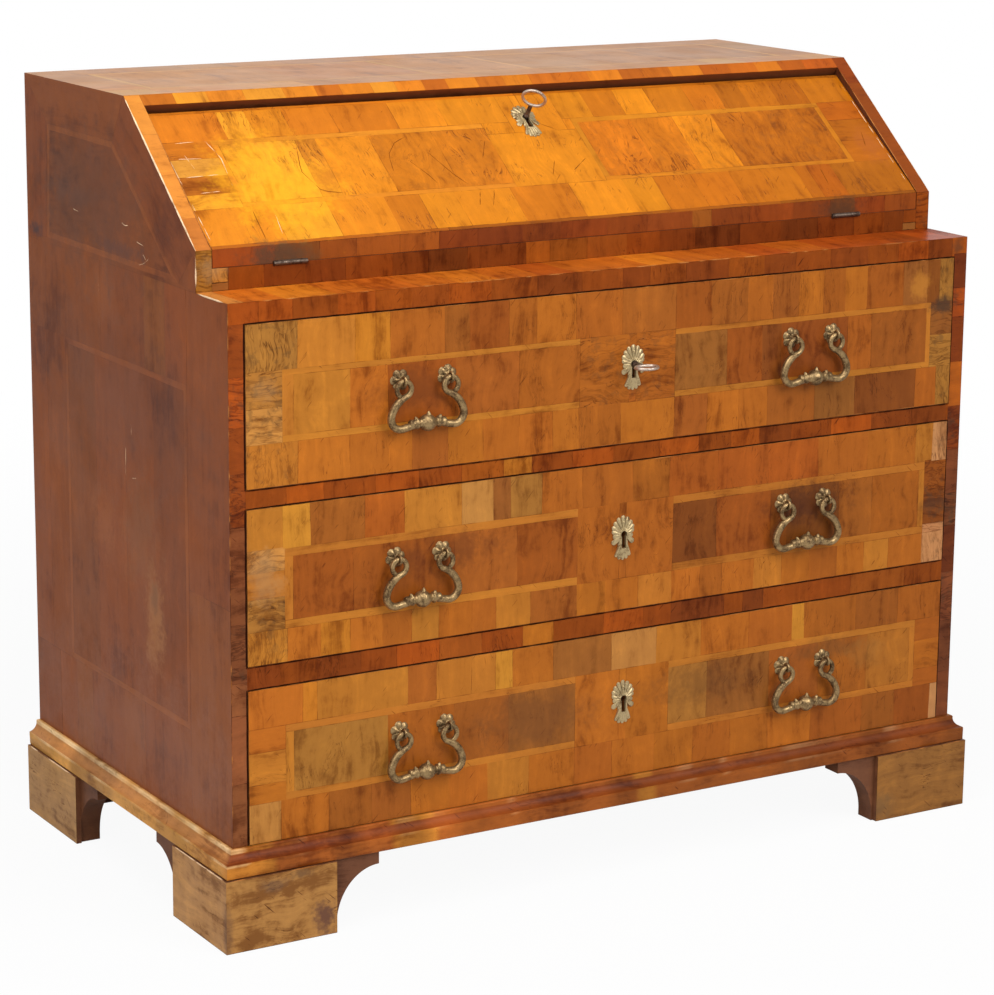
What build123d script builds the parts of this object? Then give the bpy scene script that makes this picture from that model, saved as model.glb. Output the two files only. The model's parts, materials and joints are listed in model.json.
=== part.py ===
"""Slant-front bureau of the 18th century: three long drawers under a stepped desk with a hinged fall.

Millimetres, +X to the right, +Y to the back, +Z up. The origin is on the floor, at the middle of the
whole piece, with the key that stands out of the top drawer counted in the depth.
"""

import os
from math import atan, cos, degrees, hypot, radians, sin, tan

from build123d import *

# Overall sizes of the case
case_width = 1089.0
case_depth = 589.4
case_height = 1000.0
board = 21.0                # side panels
back_thickness = 12.0
back_rebate = 10.0          # how far the back boards reach into each side

# Heights of the horizontal lines of the front
foot_height = 92.0
plinth_top = 125.5
bottom_top = 125.5
rail_lower_bottom, rail_lower_top = 319.5, 348.0
rail_upper_bottom, rail_upper_top = 541.0, 564.0
ledge_bottom, ledge_top = 762.0, 787.4
desk_top = 815.0

# Desk part
step_back = 83.6            # the desk front stands back from the drawer fronts
slant_bottom = 837.2
slant_run = 197.1           # depth of the slanted edge, from the desk front to the top
top_band = 18.4             # width of the top board's front edge, along the slant
top_thickness = 20.0
fall_thickness = 17.7
fall_length = 232.0
fall_sink = 9.5             # the closed fall lies this far below the slanted edges at its top
fall_gap = 0.8              # between each end of the fall and the side
hinge_centres = (-420.0, 405.0)
hinge_length = 45.0
hinge_leaf = 22.0
leaf_thickness = 1.6
knuckle_radius = 3.2
pin_radius = 1.3

# Drawers
drawer_thickness = 22.0
drawer_proud = 1.0
drawer_gap = 0.9
box_board = 11.0
box_bottom = 8.0
box_depth = 545.0
box_drop = 14.0             # the box sides are this much lower than the front

# Plinth moulding and feet
overhang = 16.0
fascia = 18.0
fillet_out, fillet_height = 5.5, 4.5
facing_out = 18.5           # outer face of the foot facings, from the case
bracket_out = 11.5          # outer face of the foot brackets, from the case
bracket = 28.0
front_block, back_block = 150.0, 160.0
wing = 62.0                 # bracket beyond the facing block
wing_end = 16.0
foot_floor_strip = 8.0

# Brass handles
post_spacing = 65.0
bail_stand = 11.2           # bail's plane in front of the drawer front
eye_radius, eye_rod = 8.8, 2.3
arm_rod = 3.9
arm_run = 29.0
bend_radius = 14.4
rise = 4.0                  # degrees, of the bail's grip towards its middle
bulb_half, bulb_neck = 8.8, 5.8
link_radius, link_rod = 4.6, 1.7
rosette_thickness = 3.0
petals = 6
shank_radius = 2.5

# Locks and keys
plate = 1.6
keyhole_radius, keyhole_slot, keyhole_drop = 4.4, 6.4, 18.0
lock_deep, lock_wall = 12.0, 2.0     # the lock is let into the board, flush with its back
lock_half, lock_down, lock_up = 30.0, 18.0, 24.0
bolt_half, bolt_thick, bolt_front = 5.0, 3.0, 2.5
bolt_play = 0.4
bolt_start = 12.5           # lower end of the bolt above the key's axis
bolt_throw = 9.0
key_shank, bow_radius, bow_rod = 2.7, 13.2, 1.9
bit_length, bit_height, bit_thick = 11.0, 6.0, 2.2
bow_stand = 31.6            # bow's centre in front of the drawer front
fall_bow_stand = 42.0
fall_key_turn = 33.0        # degrees that the fall's key points below level

# Places taken from the layout of the front: x and z of each key, handles' middles and heights
keys = {1: (16.0, 666.0), 2: (5.5, 447.7), 3: (9.5, 231.0)}
handles = {1: (-285.0, 292.0, 677.0), 2: (-291.0, 287.0, 458.5), 3: (-284.0, 293.0, 237.5)}
fall_key = (-4.0, 184.0)    # x and height along the fall
openings = {1: (rail_upper_top, ledge_bottom), 2: (rail_lower_top, rail_upper_bottom),
            3: (bottom_top, rail_lower_bottom)}

# Fitted interior of the desk
interior_depth = 236.0      # from the desk front to the front of the pigeonholes
thin = 8.0
shelf_bottom = 870.0
small_drawers = 4
pigeonholes = 5
small_gap = 0.6

# Derived places
key_reach = drawer_proud + bow_stand + bow_radius + bow_rod
front = key_reach - (case_depth + key_reach) / 2
back = front + case_depth
desk_front = front + step_back
inside_back = back - back_thickness
half = case_width / 2
inner = half - board
slant = degrees(atan((case_height - slant_bottom) / slant_run))
slant_length = hypot(case_height - slant_bottom, slant_run)
band_foot = slant_length - top_band
fall_slope = slant - degrees(atan(fall_sink / band_foot))

os.makedirs("parts", exist_ok=True)


def save(shape, label):
    """Label a finished piece and write it to its own file."""
    shape.label = label
    export_step(shape, f"parts/{label}.step")


def group(pieces):
    """Several separate solids that share one node."""
    return Compound(children=list(pieces))


def block(x_range, y_range, z_range):
    """A rectangular board between two limits on each axis."""
    with BuildPart() as piece:
        with BuildSketch(Plane.XY.offset(z_range[0])):
            with Locations((sum(x_range) / 2, sum(y_range) / 2)):
                Rectangle(x_range[1] - x_range[0], y_range[1] - y_range[0])
        extrude(amount=z_range[1] - z_range[0])
    return piece.part


def along_x(points, x_range):
    """A board whose section, given as (y, z) points, runs from one x to another."""
    with BuildPart() as piece:
        with BuildSketch(Plane.YZ.offset(x_range[0])):
            with BuildLine():
                Polyline(*points, close=True)
            make_face()
        extrude(amount=x_range[1] - x_range[0])
    return piece.part


def on_slant(along, depth):
    """(y, z) of a point given along the sides' slanted edge from its foot, and square below it."""
    angle = radians(slant)
    return (desk_front + along * cos(angle) + depth * sin(angle),
            slant_bottom + along * sin(angle) - depth * cos(angle))


def on_fall(along, depth):
    """(y, z) of a point given along the closed fall from its foot, and square below its outer face."""
    angle = radians(fall_slope)
    return (desk_front + along * cos(angle) + depth * sin(angle),
            slant_bottom + along * sin(angle) - depth * cos(angle))


fall_normal = (0, -sin(radians(fall_slope)), cos(radians(fall_slope)))
hinge_y, hinge_z = desk_front - 0.3, desk_top + 0.2


# ---------------------------------------------------------------- carcass

side_outline = [(front, foot_height), (front, ledge_top), (desk_front, ledge_top),
                (desk_front, slant_bottom), (desk_front + slant_run, case_height),
                (back, case_height), (back, foot_height)]
for name, outer, facing in (("side_left", -half, 1), ("side_right", half, -1)):
    with BuildPart() as side:
        with BuildSketch(Plane.YZ.offset(min(outer, outer + facing * board))):
            with BuildLine():
                Polyline(*side_outline, close=True)
            make_face()
        extrude(amount=board)
        with BuildSketch(Plane.XY.offset(foot_height)):
            with Locations((outer + facing * (board - back_rebate / 2), back - back_thickness / 2)):
                Rectangle(back_rebate, back_thickness)
        extrude(amount=case_height - top_thickness - foot_height, mode=Mode.SUBTRACT)
    save(side.part, name)

top_outline = [(desk_front + slant_run, case_height), on_slant(band_foot, 0),
               on_slant(band_foot, (on_slant(band_foot, 0)[1] - case_height + top_thickness)
                        / cos(radians(slant))),
               (back, case_height - top_thickness), (back, case_height)]
save(along_x(top_outline, (-inner, inner)), "top_board")

with BuildPart() as stop_rail:
    rail_drop = on_slant(band_foot, 28.0)
    lip_front, lip_foot = on_slant(band_foot - 12.0, 27.3), on_slant(band_foot - 12.0, 38.0)
    with BuildSketch(Plane.YZ.offset(-inner)):
        with BuildLine():
            Polyline(top_outline[2], rail_drop, lip_front, lip_foot,
                     (desk_front + interior_depth - 4.0, lip_foot[1]),
                     (desk_front + interior_depth - 4.0, case_height - top_thickness), close=True)
        make_face()
    extrude(amount=2 * inner)
    bolt_depth = fall_thickness - lock_deep + bolt_front
    stop_mortise = Plane(origin=(fall_key[0], *on_fall(fall_length, bolt_depth - 1)),
                         x_dir=(1, 0, 0), z_dir=fall_normal)
    with BuildSketch(stop_mortise):
        with Locations((0, 10.0)):
            Rectangle(2 * bolt_half + 2, 20)
    extrude(amount=-(bolt_thick + 2), mode=Mode.SUBTRACT)
save(stop_rail.part, "fall_stop_rail")

back_boards = 5
back_width = 2 * (inner + back_rebate) / back_boards
back_left = -(inner + back_rebate)
save(group(block((back_left + i * back_width, back_left + (i + 1) * back_width), (inside_back, back),
                 (foot_height, case_height - top_thickness)) for i in range(back_boards)),
     "back_boards")

save(block((-inner, inner), (front, inside_back), (bottom_top - 20.0, bottom_top)), "bottom_board")


def lock_slot(key_x, top_z):
    """Cut the mortise for a drawer's bolt into the underside of the board above that drawer."""
    bolt_y = front - drawer_proud + drawer_thickness - lock_deep + bolt_front + bolt_thick / 2
    with BuildSketch(Plane.XY.offset(top_z)) as slot:
        with Locations((key_x, bolt_y)):
            Rectangle(2 * bolt_half + 2, bolt_thick + 2)
    extrude(slot.sketch, amount=bolt_throw + 1, mode=Mode.SUBTRACT)


with BuildPart() as ledge:
    add(block((-inner, inner), (front, inside_back), (ledge_bottom, ledge_top)))
    lock_slot(keys[1][0], ledge_bottom)
save(ledge.part, "ledge_board")

loper_width, loper_height = 21.0, 9.6
loper_length = 400.0
hinge_hollow = knuckle_radius + 0.5
with BuildPart() as desk:
    add(block((-inner, inner), (desk_front, inside_back), (ledge_top, desk_top)))
    channel = loper_width + 0.6
    with BuildSketch(Plane.XZ.offset(-desk_front)):
        with Locations((inner - channel / 2, ledge_top + (loper_height + 0.6) / 2),
                       (-inner + channel / 2, ledge_top + (loper_height + 0.6) / 2)):
            Rectangle(channel, loper_height + 0.6)
    extrude(amount=-(loper_length + 20), mode=Mode.SUBTRACT)
    for centre in hinge_centres:
        with BuildSketch(Plane.YZ.offset(centre - hinge_length / 2 - 0.5)):
            with Locations((hinge_y, hinge_z)):
                Circle(hinge_hollow)
        extrude(amount=hinge_length + 1, mode=Mode.SUBTRACT)
        with BuildSketch(Plane.XY.offset(desk_top - leaf_thickness)):
            with Locations((centre, hinge_y + hinge_leaf / 2)):
                Rectangle(hinge_length + 1, hinge_leaf)
        extrude(amount=leaf_thickness, mode=Mode.SUBTRACT)
save(desk.part, "desk_board")

rail_depth = 70.0
runner_width = 45.0
rails = {"rail_upper": (rail_upper_bottom, rail_upper_top, keys[2][0]),
         "rail_lower": (rail_lower_bottom, rail_lower_top, keys[3][0])}
runners, dust_boards = [], []
for name, (bottom, top, key_x) in rails.items():
    with BuildPart() as rail:
        add(block((-inner, inner), (front, front + rail_depth), (bottom, top)))
        lock_slot(key_x, bottom)
    save(rail.part, name)
    runners.append(block((-inner, -inner + runner_width), (front + rail_depth, inside_back),
                         (bottom, top)))
    runners.append(block((inner - runner_width, inner), (front + rail_depth, inside_back),
                         (bottom, top)))
    middle = (bottom + top) / 2
    dust_boards.append(block((-inner + runner_width, inner - runner_width),
                             (front + rail_depth, inside_back), (middle - 4, middle + 4)))
save(group(runners), "drawer_runners")
save(group(dust_boards), "dust_boards")


# ---------------------------------------------------------------- plinth moulding

def moulding_section():
    """Cove moulding: a fascia, a hollow and a small fillet, drawn outwards from the case face."""
    cove_top = plinth_top - fillet_height
    with BuildSketch() as section:
        with BuildLine():
            outline = Polyline((0, foot_height), (overhang, foot_height),
                               (overhang, foot_height + fascia))
            hollow = RadiusArc(outline @ 1, (fillet_out, cove_top), 13.0)
            Polyline(hollow @ 1, (fillet_out, plinth_top), (0, plinth_top), (0, foot_height))
        make_face()
    return section.sketch


mitre = overhang + 1.0
with BuildPart() as moulding_front:
    with BuildSketch(Plane(origin=(-half - mitre, front, 0), x_dir=(0, -1, 0), z_dir=(-1, 0, 0))):
        add(moulding_section())
    extrude(amount=-2 * (half + mitre))
    for sign in (-1, 1):
        with BuildSketch(Plane.XY):
            with BuildLine():
                Polyline((sign * half, front), (sign * (half + 2 * mitre), front),
                         (sign * (half + 2 * mitre), front - 2 * mitre), close=True)
            make_face()
        extrude(amount=case_height, mode=Mode.SUBTRACT)
save(moulding_front.part, "moulding_front")

for name, sign in (("moulding_left", -1), ("moulding_right", 1)):
    with BuildPart() as moulding:
        with BuildSketch(Plane(origin=(sign * half, back, 0), x_dir=(sign, 0, 0),
                               z_dir=(0, -sign, 0))):
            add(moulding_section())
        extrude(amount=sign * (case_depth + mitre))
        with BuildSketch(Plane.XY):
            with BuildLine():
                Polyline((sign * half, front), (sign * half, front - 2 * mitre),
                         (sign * (half + 2 * mitre), front - 2 * mitre), close=True)
            make_face()
        extrude(amount=case_height, mode=Mode.SUBTRACT)
    save(moulding.part, name)


# ---------------------------------------------------------------- bracket feet

def bracket_outline(length, block_length):
    """Outline of one bracket from the corner: a post, a hollow quarter curve and a short end."""
    post = block_length - (facing_out - bracket_out) + 3.0
    with BuildSketch() as outline:
        with BuildLine():
            Polyline((0, 0), (post, 0), (post, foot_floor_strip))
            curve = EllipticalCenterArc((length, foot_floor_strip), length - post,
                                        foot_height - wing_end - foot_floor_strip, 90,
                                        arc_size=90)
            Polyline(curve @ 0, (length, foot_height), (0, foot_height), (0, 0))
        make_face()
    return outline.sketch


def foot(side, end, name):
    """Foot at one corner: two brackets, the facings on the seen faces, and a glue block behind."""
    corner_x = side * (half + bracket_out)
    corner_y = front - bracket_out if end < 0 else back
    block_length = front_block if end < 0 else back_block
    reach = block_length - (facing_out - bracket_out) + wing
    pieces = []
    with BuildPart() as along_front:
        with BuildSketch(Plane(origin=(corner_x, corner_y, 0), x_dir=(-side, 0, 0),
                               z_dir=(0, side, 0))):
            add(bracket_outline(reach, block_length))
        extrude(amount=-side * end * bracket)
    pieces.append(along_front.part)
    inner_y = corner_y - end * bracket
    with BuildPart() as along_side:
        with BuildSketch(Plane(origin=(corner_x, corner_y, 0), x_dir=(0, -end, 0),
                               z_dir=(-end, 0, 0))):
            add(bracket_outline(reach, block_length))
        extrude(amount=side * end * bracket)
        add(block(sorted((corner_x - side * 2 * bracket, corner_x + side)),
                  sorted((corner_y + end, inner_y)), (-1, foot_height + 1)), mode=Mode.SUBTRACT)
    pieces.append(along_side.part)
    outer_x = side * (half + facing_out)
    outer_y = front - facing_out if end < 0 else back
    pieces.append(block(sorted((corner_x, outer_x)), sorted((outer_y, outer_y - end * block_length)),
                        (0, foot_height)))
    if end < 0:
        pieces.append(block(sorted((corner_x, outer_x - side * block_length)),
                            sorted((outer_y, corner_y)), (0, foot_height)))
    pieces.append(block(sorted((corner_x - side * bracket, corner_x - side * 2 * bracket)),
                        sorted((inner_y, inner_y - end * bracket)), (foot_height / 3, foot_height)))
    save(group(pieces), name)


foot(-1, -1, "foot_front_left")
foot(1, -1, "foot_front_right")
foot(-1, 1, "foot_back_left")
foot(1, 1, "foot_back_right")


# ---------------------------------------------------------------- lopers

for name, sign in (("loper_left", -1), ("loper_right", 1)):
    outer, near = sign * (inner - 0.3), sign * (inner - 0.3 - loper_width)
    save(block(sorted((outer, near)), (desk_front, desk_front + loper_length),
               (ledge_top + 0.3, ledge_top + 0.3 + loper_height - 0.3)), name)


# ---------------------------------------------------------------- locks, keys and escutcheons

def keyhole(depth, plane):
    """Cut a keyhole, a round eye with a slot below it, inwards from a plane."""
    with BuildSketch(plane) as hole:
        Circle(keyhole_radius)
        with Locations((0, -keyhole_drop / 2)):
            Rectangle(keyhole_slot, keyhole_drop)
    extrude(hole.sketch, amount=-depth, mode=Mode.SUBTRACT)


def escutcheon(plane):
    """Cast shell escutcheon: a fan of seven lobes, two round scrolls and a toothed foot."""
    with BuildPart() as casting:
        with BuildSketch(plane):
            Circle(10.5)
            for spread, length, width in ((0, 12.0, 4.2), (24, 11.0, 3.4), (47, 10.0, 3.6),
                                          (74, 8.6, 5.0)):
                for turn in {spread, -spread}:
                    lobe = Plane.XY.rotated((0, 0, turn))
                    middle = lobe.from_local_coords((0, 11.5, 0))
                    with Locations(Location(middle, (0, 0, turn))):
                        Ellipse(width, length)
            with Locations((-14.6, -10.2), (14.6, -10.2)):
                Circle(4.3)
            with Locations((0, -16.0)):
                Rectangle(21.0, 26.0)
            with Locations((0, -10.5)):
                Rectangle(30.0, 5.0)
            with Locations(*[(x, -29.6) for x in (-9.6, -4.8, 0, 4.8, 9.6)]):
                Ellipse(2.2, 4.2)
        extrude(amount=plate)
        keyhole(plate, plane.offset(plate))
    return casting.part


def lock_pocket(plane, board_edge):
    """Cut the pocket for a lock, and the channel that its bolt runs in up to the board's edge."""
    with BuildSketch(plane) as pocket:
        with Locations((0, (lock_up - lock_down) / 2)):
            Rectangle(2 * lock_half, lock_up + lock_down)
    extrude(pocket.sketch, amount=-lock_deep, mode=Mode.SUBTRACT)
    with BuildSketch(plane.offset(-bolt_front + bolt_play)) as channel:
        with Locations((0, (lock_up + board_edge) / 2)):
            Rectangle(2 * (bolt_half + bolt_play), board_edge - lock_up)
    extrude(channel.sketch, amount=-(bolt_thick + 2 * bolt_play), mode=Mode.SUBTRACT)


def lock(plane):
    """Lock case: a shallow box with its open side to the keyhole and a slot for the bolt on top."""
    with BuildPart() as case:
        with BuildSketch(plane):
            with Locations((0, (lock_up - lock_down) / 2)):
                Rectangle(2 * lock_half, lock_up + lock_down)
        extrude(amount=-lock_deep)
        with BuildSketch(plane):
            with Locations((0, (lock_up - lock_down) / 2)):
                Rectangle(2 * (lock_half - lock_wall), lock_up + lock_down - 2 * lock_wall)
        extrude(amount=-(lock_deep - lock_wall), mode=Mode.SUBTRACT)
        with BuildSketch(plane.offset(-bolt_front + bolt_play)):
            with Locations((0, lock_up)):
                Rectangle(2 * (bolt_half + bolt_play), 4 * lock_wall)
        extrude(amount=-(bolt_thick + 2 * bolt_play), mode=Mode.SUBTRACT)
    return case.part


def bolt(plane, reach):
    """Flat bolt that rises from above the key to just under the board's edge."""
    with BuildPart() as bar:
        with BuildSketch(plane.offset(-bolt_front)):
            with Locations((0, (bolt_start + reach) / 2)):
                Rectangle(2 * bolt_half, reach - bolt_start)
        extrude(amount=-bolt_thick)
    return bar.part


def key(plane, thickness, stand, turn):
    """Key through a board: ring bow, collar, round shank, and a bit at its end that points to turn."""
    aim = plane.x_dir * cos(radians(turn)) + plane.y_dir * sin(radians(turn))
    turned = Plane(origin=plane.origin, x_dir=aim, z_dir=plane.z_dir)
    shank_start, shank_end = thickness + stand - bow_radius, -(lock_deep - lock_wall - 1.0)
    with BuildPart() as piece:
        with BuildSketch(plane.offset(shank_end)):
            Circle(key_shank)
        extrude(amount=shank_start - shank_end)
        with BuildSketch(plane.offset(thickness + 6.0)):
            Circle(key_shank + 1.3)
        extrude(amount=2.5)
        with BuildSketch(turned.offset(shank_end + 0.5)):
            with Locations((bit_length / 2, 0)):
                Rectangle(bit_length, bit_thick)
        extrude(amount=bit_height)
        bow_plane = Plane(origin=turned.offset(thickness + stand).origin, x_dir=turned.z_dir,
                          z_dir=turned.y_dir)
        with Locations(bow_plane):
            Torus(bow_radius, bow_rod)
    return piece.part


# ---------------------------------------------------------------- fall

fall_keyhole = Plane(origin=(fall_key[0], *on_fall(fall_key[1], 0)), x_dir=(1, 0, 0),
                     z_dir=fall_normal)
fall_lock_plane = fall_keyhole.offset(-(fall_thickness - lock_deep))
fall_foot = slant_bottom - fall_thickness / cos(radians(fall_slope))
foot_drop = fall_thickness * tan(radians(fall_slope))
leaf_planes = [Plane(origin=(centre, *on_fall(-foot_drop, fall_thickness)), x_dir=(1, 0, 0),
                     z_dir=fall_normal) for centre in hinge_centres]
with BuildPart() as fall:
    with BuildSketch(Plane.YZ.offset(-inner + fall_gap)):
        with BuildLine():
            Polyline((desk_front, fall_foot + 0.3), (desk_front, slant_bottom),
                     on_fall(fall_length, 0), on_fall(fall_length, fall_thickness - 0.2),
                     close=True)
        make_face()
    extrude(amount=2 * (inner - fall_gap))
    keyhole(fall_thickness, fall_keyhole.offset(1))
    lock_pocket(fall_lock_plane, fall_length - fall_key[1] + 1)
    for centre, leaf_plane in zip(hinge_centres, leaf_planes):
        with BuildSketch(Plane.YZ.offset(centre - hinge_length / 2 - 0.5)):
            with Locations((hinge_y, hinge_z)):
                Circle(hinge_hollow)
        extrude(amount=hinge_length + 1, mode=Mode.SUBTRACT)
        with BuildSketch(leaf_plane):
            with Locations((0, hinge_leaf / 2)):
                Rectangle(hinge_length + 1, hinge_leaf)
        extrude(amount=leaf_thickness + 0.2, mode=Mode.SUBTRACT)
save(fall.part, "fall_board")

save(lock(fall_lock_plane), "fall_lock")
save(bolt(fall_lock_plane, fall_length - fall_key[1] - 0.5), "fall_bolt")
save(escutcheon(fall_keyhole), "fall_escutcheon")
save(key(fall_lock_plane, fall_thickness - lock_deep, fall_bow_stand, -fall_key_turn), "fall_key")

third = hinge_length / 3
carcass_leaves, fall_leaves, pins = [], [], []
for centre, leaf_plane in zip(hinge_centres, leaf_planes):
    with BuildPart() as carcass_leaf:
        with BuildSketch(Plane.YZ.offset(centre - hinge_length / 2)):
            with Locations((hinge_y, hinge_z)):
                Circle(knuckle_radius)
        extrude(amount=hinge_length)
        with BuildSketch(Plane.XY.offset(desk_top - leaf_thickness)):
            with Locations((centre, hinge_y + hinge_leaf / 2)):
                Rectangle(hinge_length, hinge_leaf)
        extrude(amount=leaf_thickness)
        with BuildSketch(Plane.YZ.offset(centre - third / 2 - 0.2)):
            with Locations((hinge_y, hinge_z)):
                Circle(hinge_hollow)
        extrude(amount=third + 0.4, mode=Mode.SUBTRACT)
        with BuildSketch(Plane.YZ.offset(centre - hinge_length / 2)):
            with Locations((hinge_y, hinge_z)):
                Circle(pin_radius + 0.05)
        extrude(amount=hinge_length, mode=Mode.SUBTRACT)
    carcass_leaves.append(carcass_leaf.part)
    with BuildPart() as fall_leaf:
        with BuildSketch(leaf_plane.offset(0.2)):
            with Locations((0, hinge_leaf / 2)):
                Rectangle(hinge_length, hinge_leaf)
        extrude(amount=leaf_thickness)
        for sign in (-1, 1):
            with BuildSketch(Plane.YZ.offset(centre + sign * third - third / 2 - 0.2)):
                with Locations((hinge_y, hinge_z)):
                    Circle(hinge_hollow)
            extrude(amount=third + 0.4, mode=Mode.SUBTRACT)
        with BuildSketch(Plane.YZ.offset(centre - third / 2)):
            with Locations((hinge_y, hinge_z)):
                Circle(knuckle_radius)
        extrude(amount=third)
        with BuildSketch(Plane.YZ.offset(centre - third / 2)):
            with Locations((hinge_y, hinge_z)):
                Circle(pin_radius + 0.05)
        extrude(amount=third, mode=Mode.SUBTRACT)
    fall_leaves.append(fall_leaf.part)
    with BuildPart() as pin:
        with BuildSketch(Plane.YZ.offset(centre - hinge_length / 2)):
            with Locations((hinge_y, hinge_z)):
                Circle(pin_radius)
        extrude(amount=hinge_length)
    pins.append(pin.part)
save(group(carcass_leaves), "hinge_carcass_leaves")
save(group(fall_leaves), "hinge_fall_leaves")
save(group(pins), "hinge_pins")


# ---------------------------------------------------------------- long drawers

drawer_face = front - drawer_proud
drawer_inside = drawer_face + drawer_thickness


def handle_post():
    """Rosette with six petals, a link that carries the bail, and a shank with a square nut inside."""
    face = Plane(origin=(0, 0, 0), x_dir=(1, 0, 0), z_dir=(0, -1, 0))
    with BuildPart() as post:
        with BuildSketch(face):
            Circle(8.5)
            with PolarLocations(8.6, petals, start_angle=8):
                Circle(5.0)
        extrude(amount=rosette_thickness)
        with BuildSketch(face):
            Circle(shank_radius + 1.0)
        extrude(amount=bail_stand - link_radius)
        with BuildSketch(face):
            Circle(shank_radius)
        extrude(amount=-(drawer_thickness + 6.0))
        with BuildSketch(Plane(origin=(0, -bail_stand, 0), z_dir=(1, 0, 0))):
            Circle(link_radius + link_rod)
            Circle(link_radius - link_rod, mode=Mode.SUBTRACT)
        extrude(amount=link_rod, both=True)
    with BuildPart() as nut:
        with BuildSketch(face.offset(-drawer_thickness)):
            Rectangle(12, 12)
            Circle(shank_radius, mode=Mode.SUBTRACT)
        extrude(amount=-4)
    return [post.part, nut.part]


def bail():
    """Swan-neck drop handle: two eyes, two bowed arms, and a turned bulb between collars."""
    plane = Plane(origin=(0, 0, 0), x_dir=(1, 0, 0), z_dir=(0, -1, 0))
    eye = (post_spacing / 2, -eye_radius)
    slope = sin(radians(45))
    start = (eye[0] - eye_radius * slope, eye[1] - eye_radius * slope)
    bend_start = (start[0] + arm_run * slope, start[1] - arm_run * slope)
    bend_middle = (bend_start[0] - bend_radius * slope, bend_start[1] - bend_radius * slope)
    bend_end = (bend_middle[0] - bend_radius * sin(radians(rise)),
                bend_middle[1] - bend_radius * cos(radians(rise)))
    grip = bend_end[1] + bend_end[0] * tan(radians(rise))
    with BuildPart() as arm:
        with BuildLine(plane):
            neck = Line(start, bend_start)
            bend = JernArc(bend_start, (slope, -slope), bend_radius, -(135 + rise))
            Line(bend @ 1, (0, grip))
        with BuildSketch(Plane(origin=neck @ 0, z_dir=neck % 0)):
            Circle(arm_rod)
        sweep()
        with Locations(Plane(origin=plane.from_local_coords((*eye, 0)), z_dir=plane.z_dir)):
            Torus(eye_radius, eye_rod)
        mirror(about=Plane.YZ)
        with BuildSketch(Plane(origin=(0, 0, grip), x_dir=(1, 0, 0), z_dir=(0, -1, 0))):
            with BuildLine():
                flank = Polyline((-27, 0), (-27, 4.6), (-19, 5.8), (-17.5, 7.2), (-14.5, 7.2),
                                 (-13, 5.2), (-10.5, 5.2), (-bulb_half, bulb_neck))
                bulb = ThreePointArc(flank @ 1, (0, hypot(bulb_half, bulb_neck)),
                                     (bulb_half, bulb_neck))
                Polyline(bulb @ 1, (10.5, 5.2), (13, 5.2), (14.5, 7.2), (17.5, 7.2), (19, 5.8),
                         (27, 4.6), (27, 0), (-27, 0))
            make_face()
        revolve(axis=Axis((0, 0, grip), (1, 0, 0)))
    return arm.part


post_solids, bail_solid = handle_post(), bail()
for number, (low, high) in openings.items():
    key_x, key_z = keys[number]
    left_x, right_x, handle_z = handles[number]
    posts = [(middle + side * post_spacing / 2, handle_z)
             for middle in (left_x, right_x) for side in (-1, 1)]
    face = Plane(origin=(key_x, drawer_face, key_z), x_dir=(1, 0, 0), z_dir=(0, -1, 0))
    lock_plane = face.offset(-(drawer_thickness - lock_deep))
    top = high - drawer_gap

    with BuildPart() as drawer_front:
        add(block((-inner + drawer_gap, inner - drawer_gap), (drawer_face, drawer_inside),
                  (low + drawer_gap, top)))
        keyhole(drawer_thickness, face)
        lock_pocket(lock_plane, top - key_z + 1)
        for post_x, post_z in posts:
            with BuildSketch(Plane(origin=(post_x, drawer_face, post_z), z_dir=(0, -1, 0))):
                Circle(shank_radius + 0.2)
            extrude(amount=-drawer_thickness, mode=Mode.SUBTRACT)
    save(drawer_front.part, f"drawer_{number}_front")

    box_x = inner - drawer_gap
    box_bottom_z, box_top_z = low + 0.3, top - box_drop
    box_back = drawer_inside + box_depth
    sides = [block(sorted((sign * box_x, sign * (box_x - box_board))), (drawer_inside, box_back),
                   (box_bottom_z, box_top_z)) for sign in (-1, 1)]
    rear = block((-box_x + box_board, box_x - box_board), (box_back - box_board, box_back),
                 (box_bottom_z, box_top_z))
    save(group([*sides, rear]), f"drawer_{number}_box")
    save(block((-box_x + box_board, box_x - box_board), (drawer_inside, box_back - box_board),
               (box_bottom_z, box_bottom_z + box_bottom)), f"drawer_{number}_bottom")

    save(escutcheon(face), f"drawer_{number}_escutcheon")
    save(group(solid.moved(Location((post_x, drawer_face, post_z)))
               for post_x, post_z in posts for solid in post_solids),
         f"drawer_{number}_handle_posts")
    for side_name, middle in (("left", left_x), ("right", right_x)):
        hung = Location((middle, drawer_face - bail_stand, handle_z))
        save(bail_solid.moved(hung), f"drawer_{number}_bail_{side_name}")

    bar = bolt(lock_plane, top - 1.5 - key_z)
    if number == 1:
        save(lock(lock_plane), "drawer_1_lock")
        save(bar, "drawer_1_bolt")
        save(key(lock_plane, drawer_thickness - lock_deep, bow_stand, 0), "drawer_1_key")
    else:
        save(group([lock(lock_plane), bar]), f"drawer_{number}_lock")


# ---------------------------------------------------------------- fitted interior

interior_front = desk_front + interior_depth
interior_top = case_height - top_thickness
fitting = [block((-inner, inner), (interior_front, inside_back), (shelf_bottom, shelf_bottom + thin))]
bay = (2 * inner - (small_drawers - 1) * thin) / small_drawers
for number in range(1, small_drawers):
    divider = -inner + number * bay + (number - 1) * thin
    fitting.append(block((divider, divider + thin), (interior_front, inside_back),
                         (desk_top, shelf_bottom)))
hole = (2 * inner - (pigeonholes - 1) * thin) / pigeonholes
for number in range(1, pigeonholes):
    divider = -inner + number * hole + (number - 1) * thin
    fitting.append(block((divider, divider + thin), (interior_front, inside_back),
                         (shelf_bottom + thin, interior_top)))
save(group(fitting), "pigeonhole_case")


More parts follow.
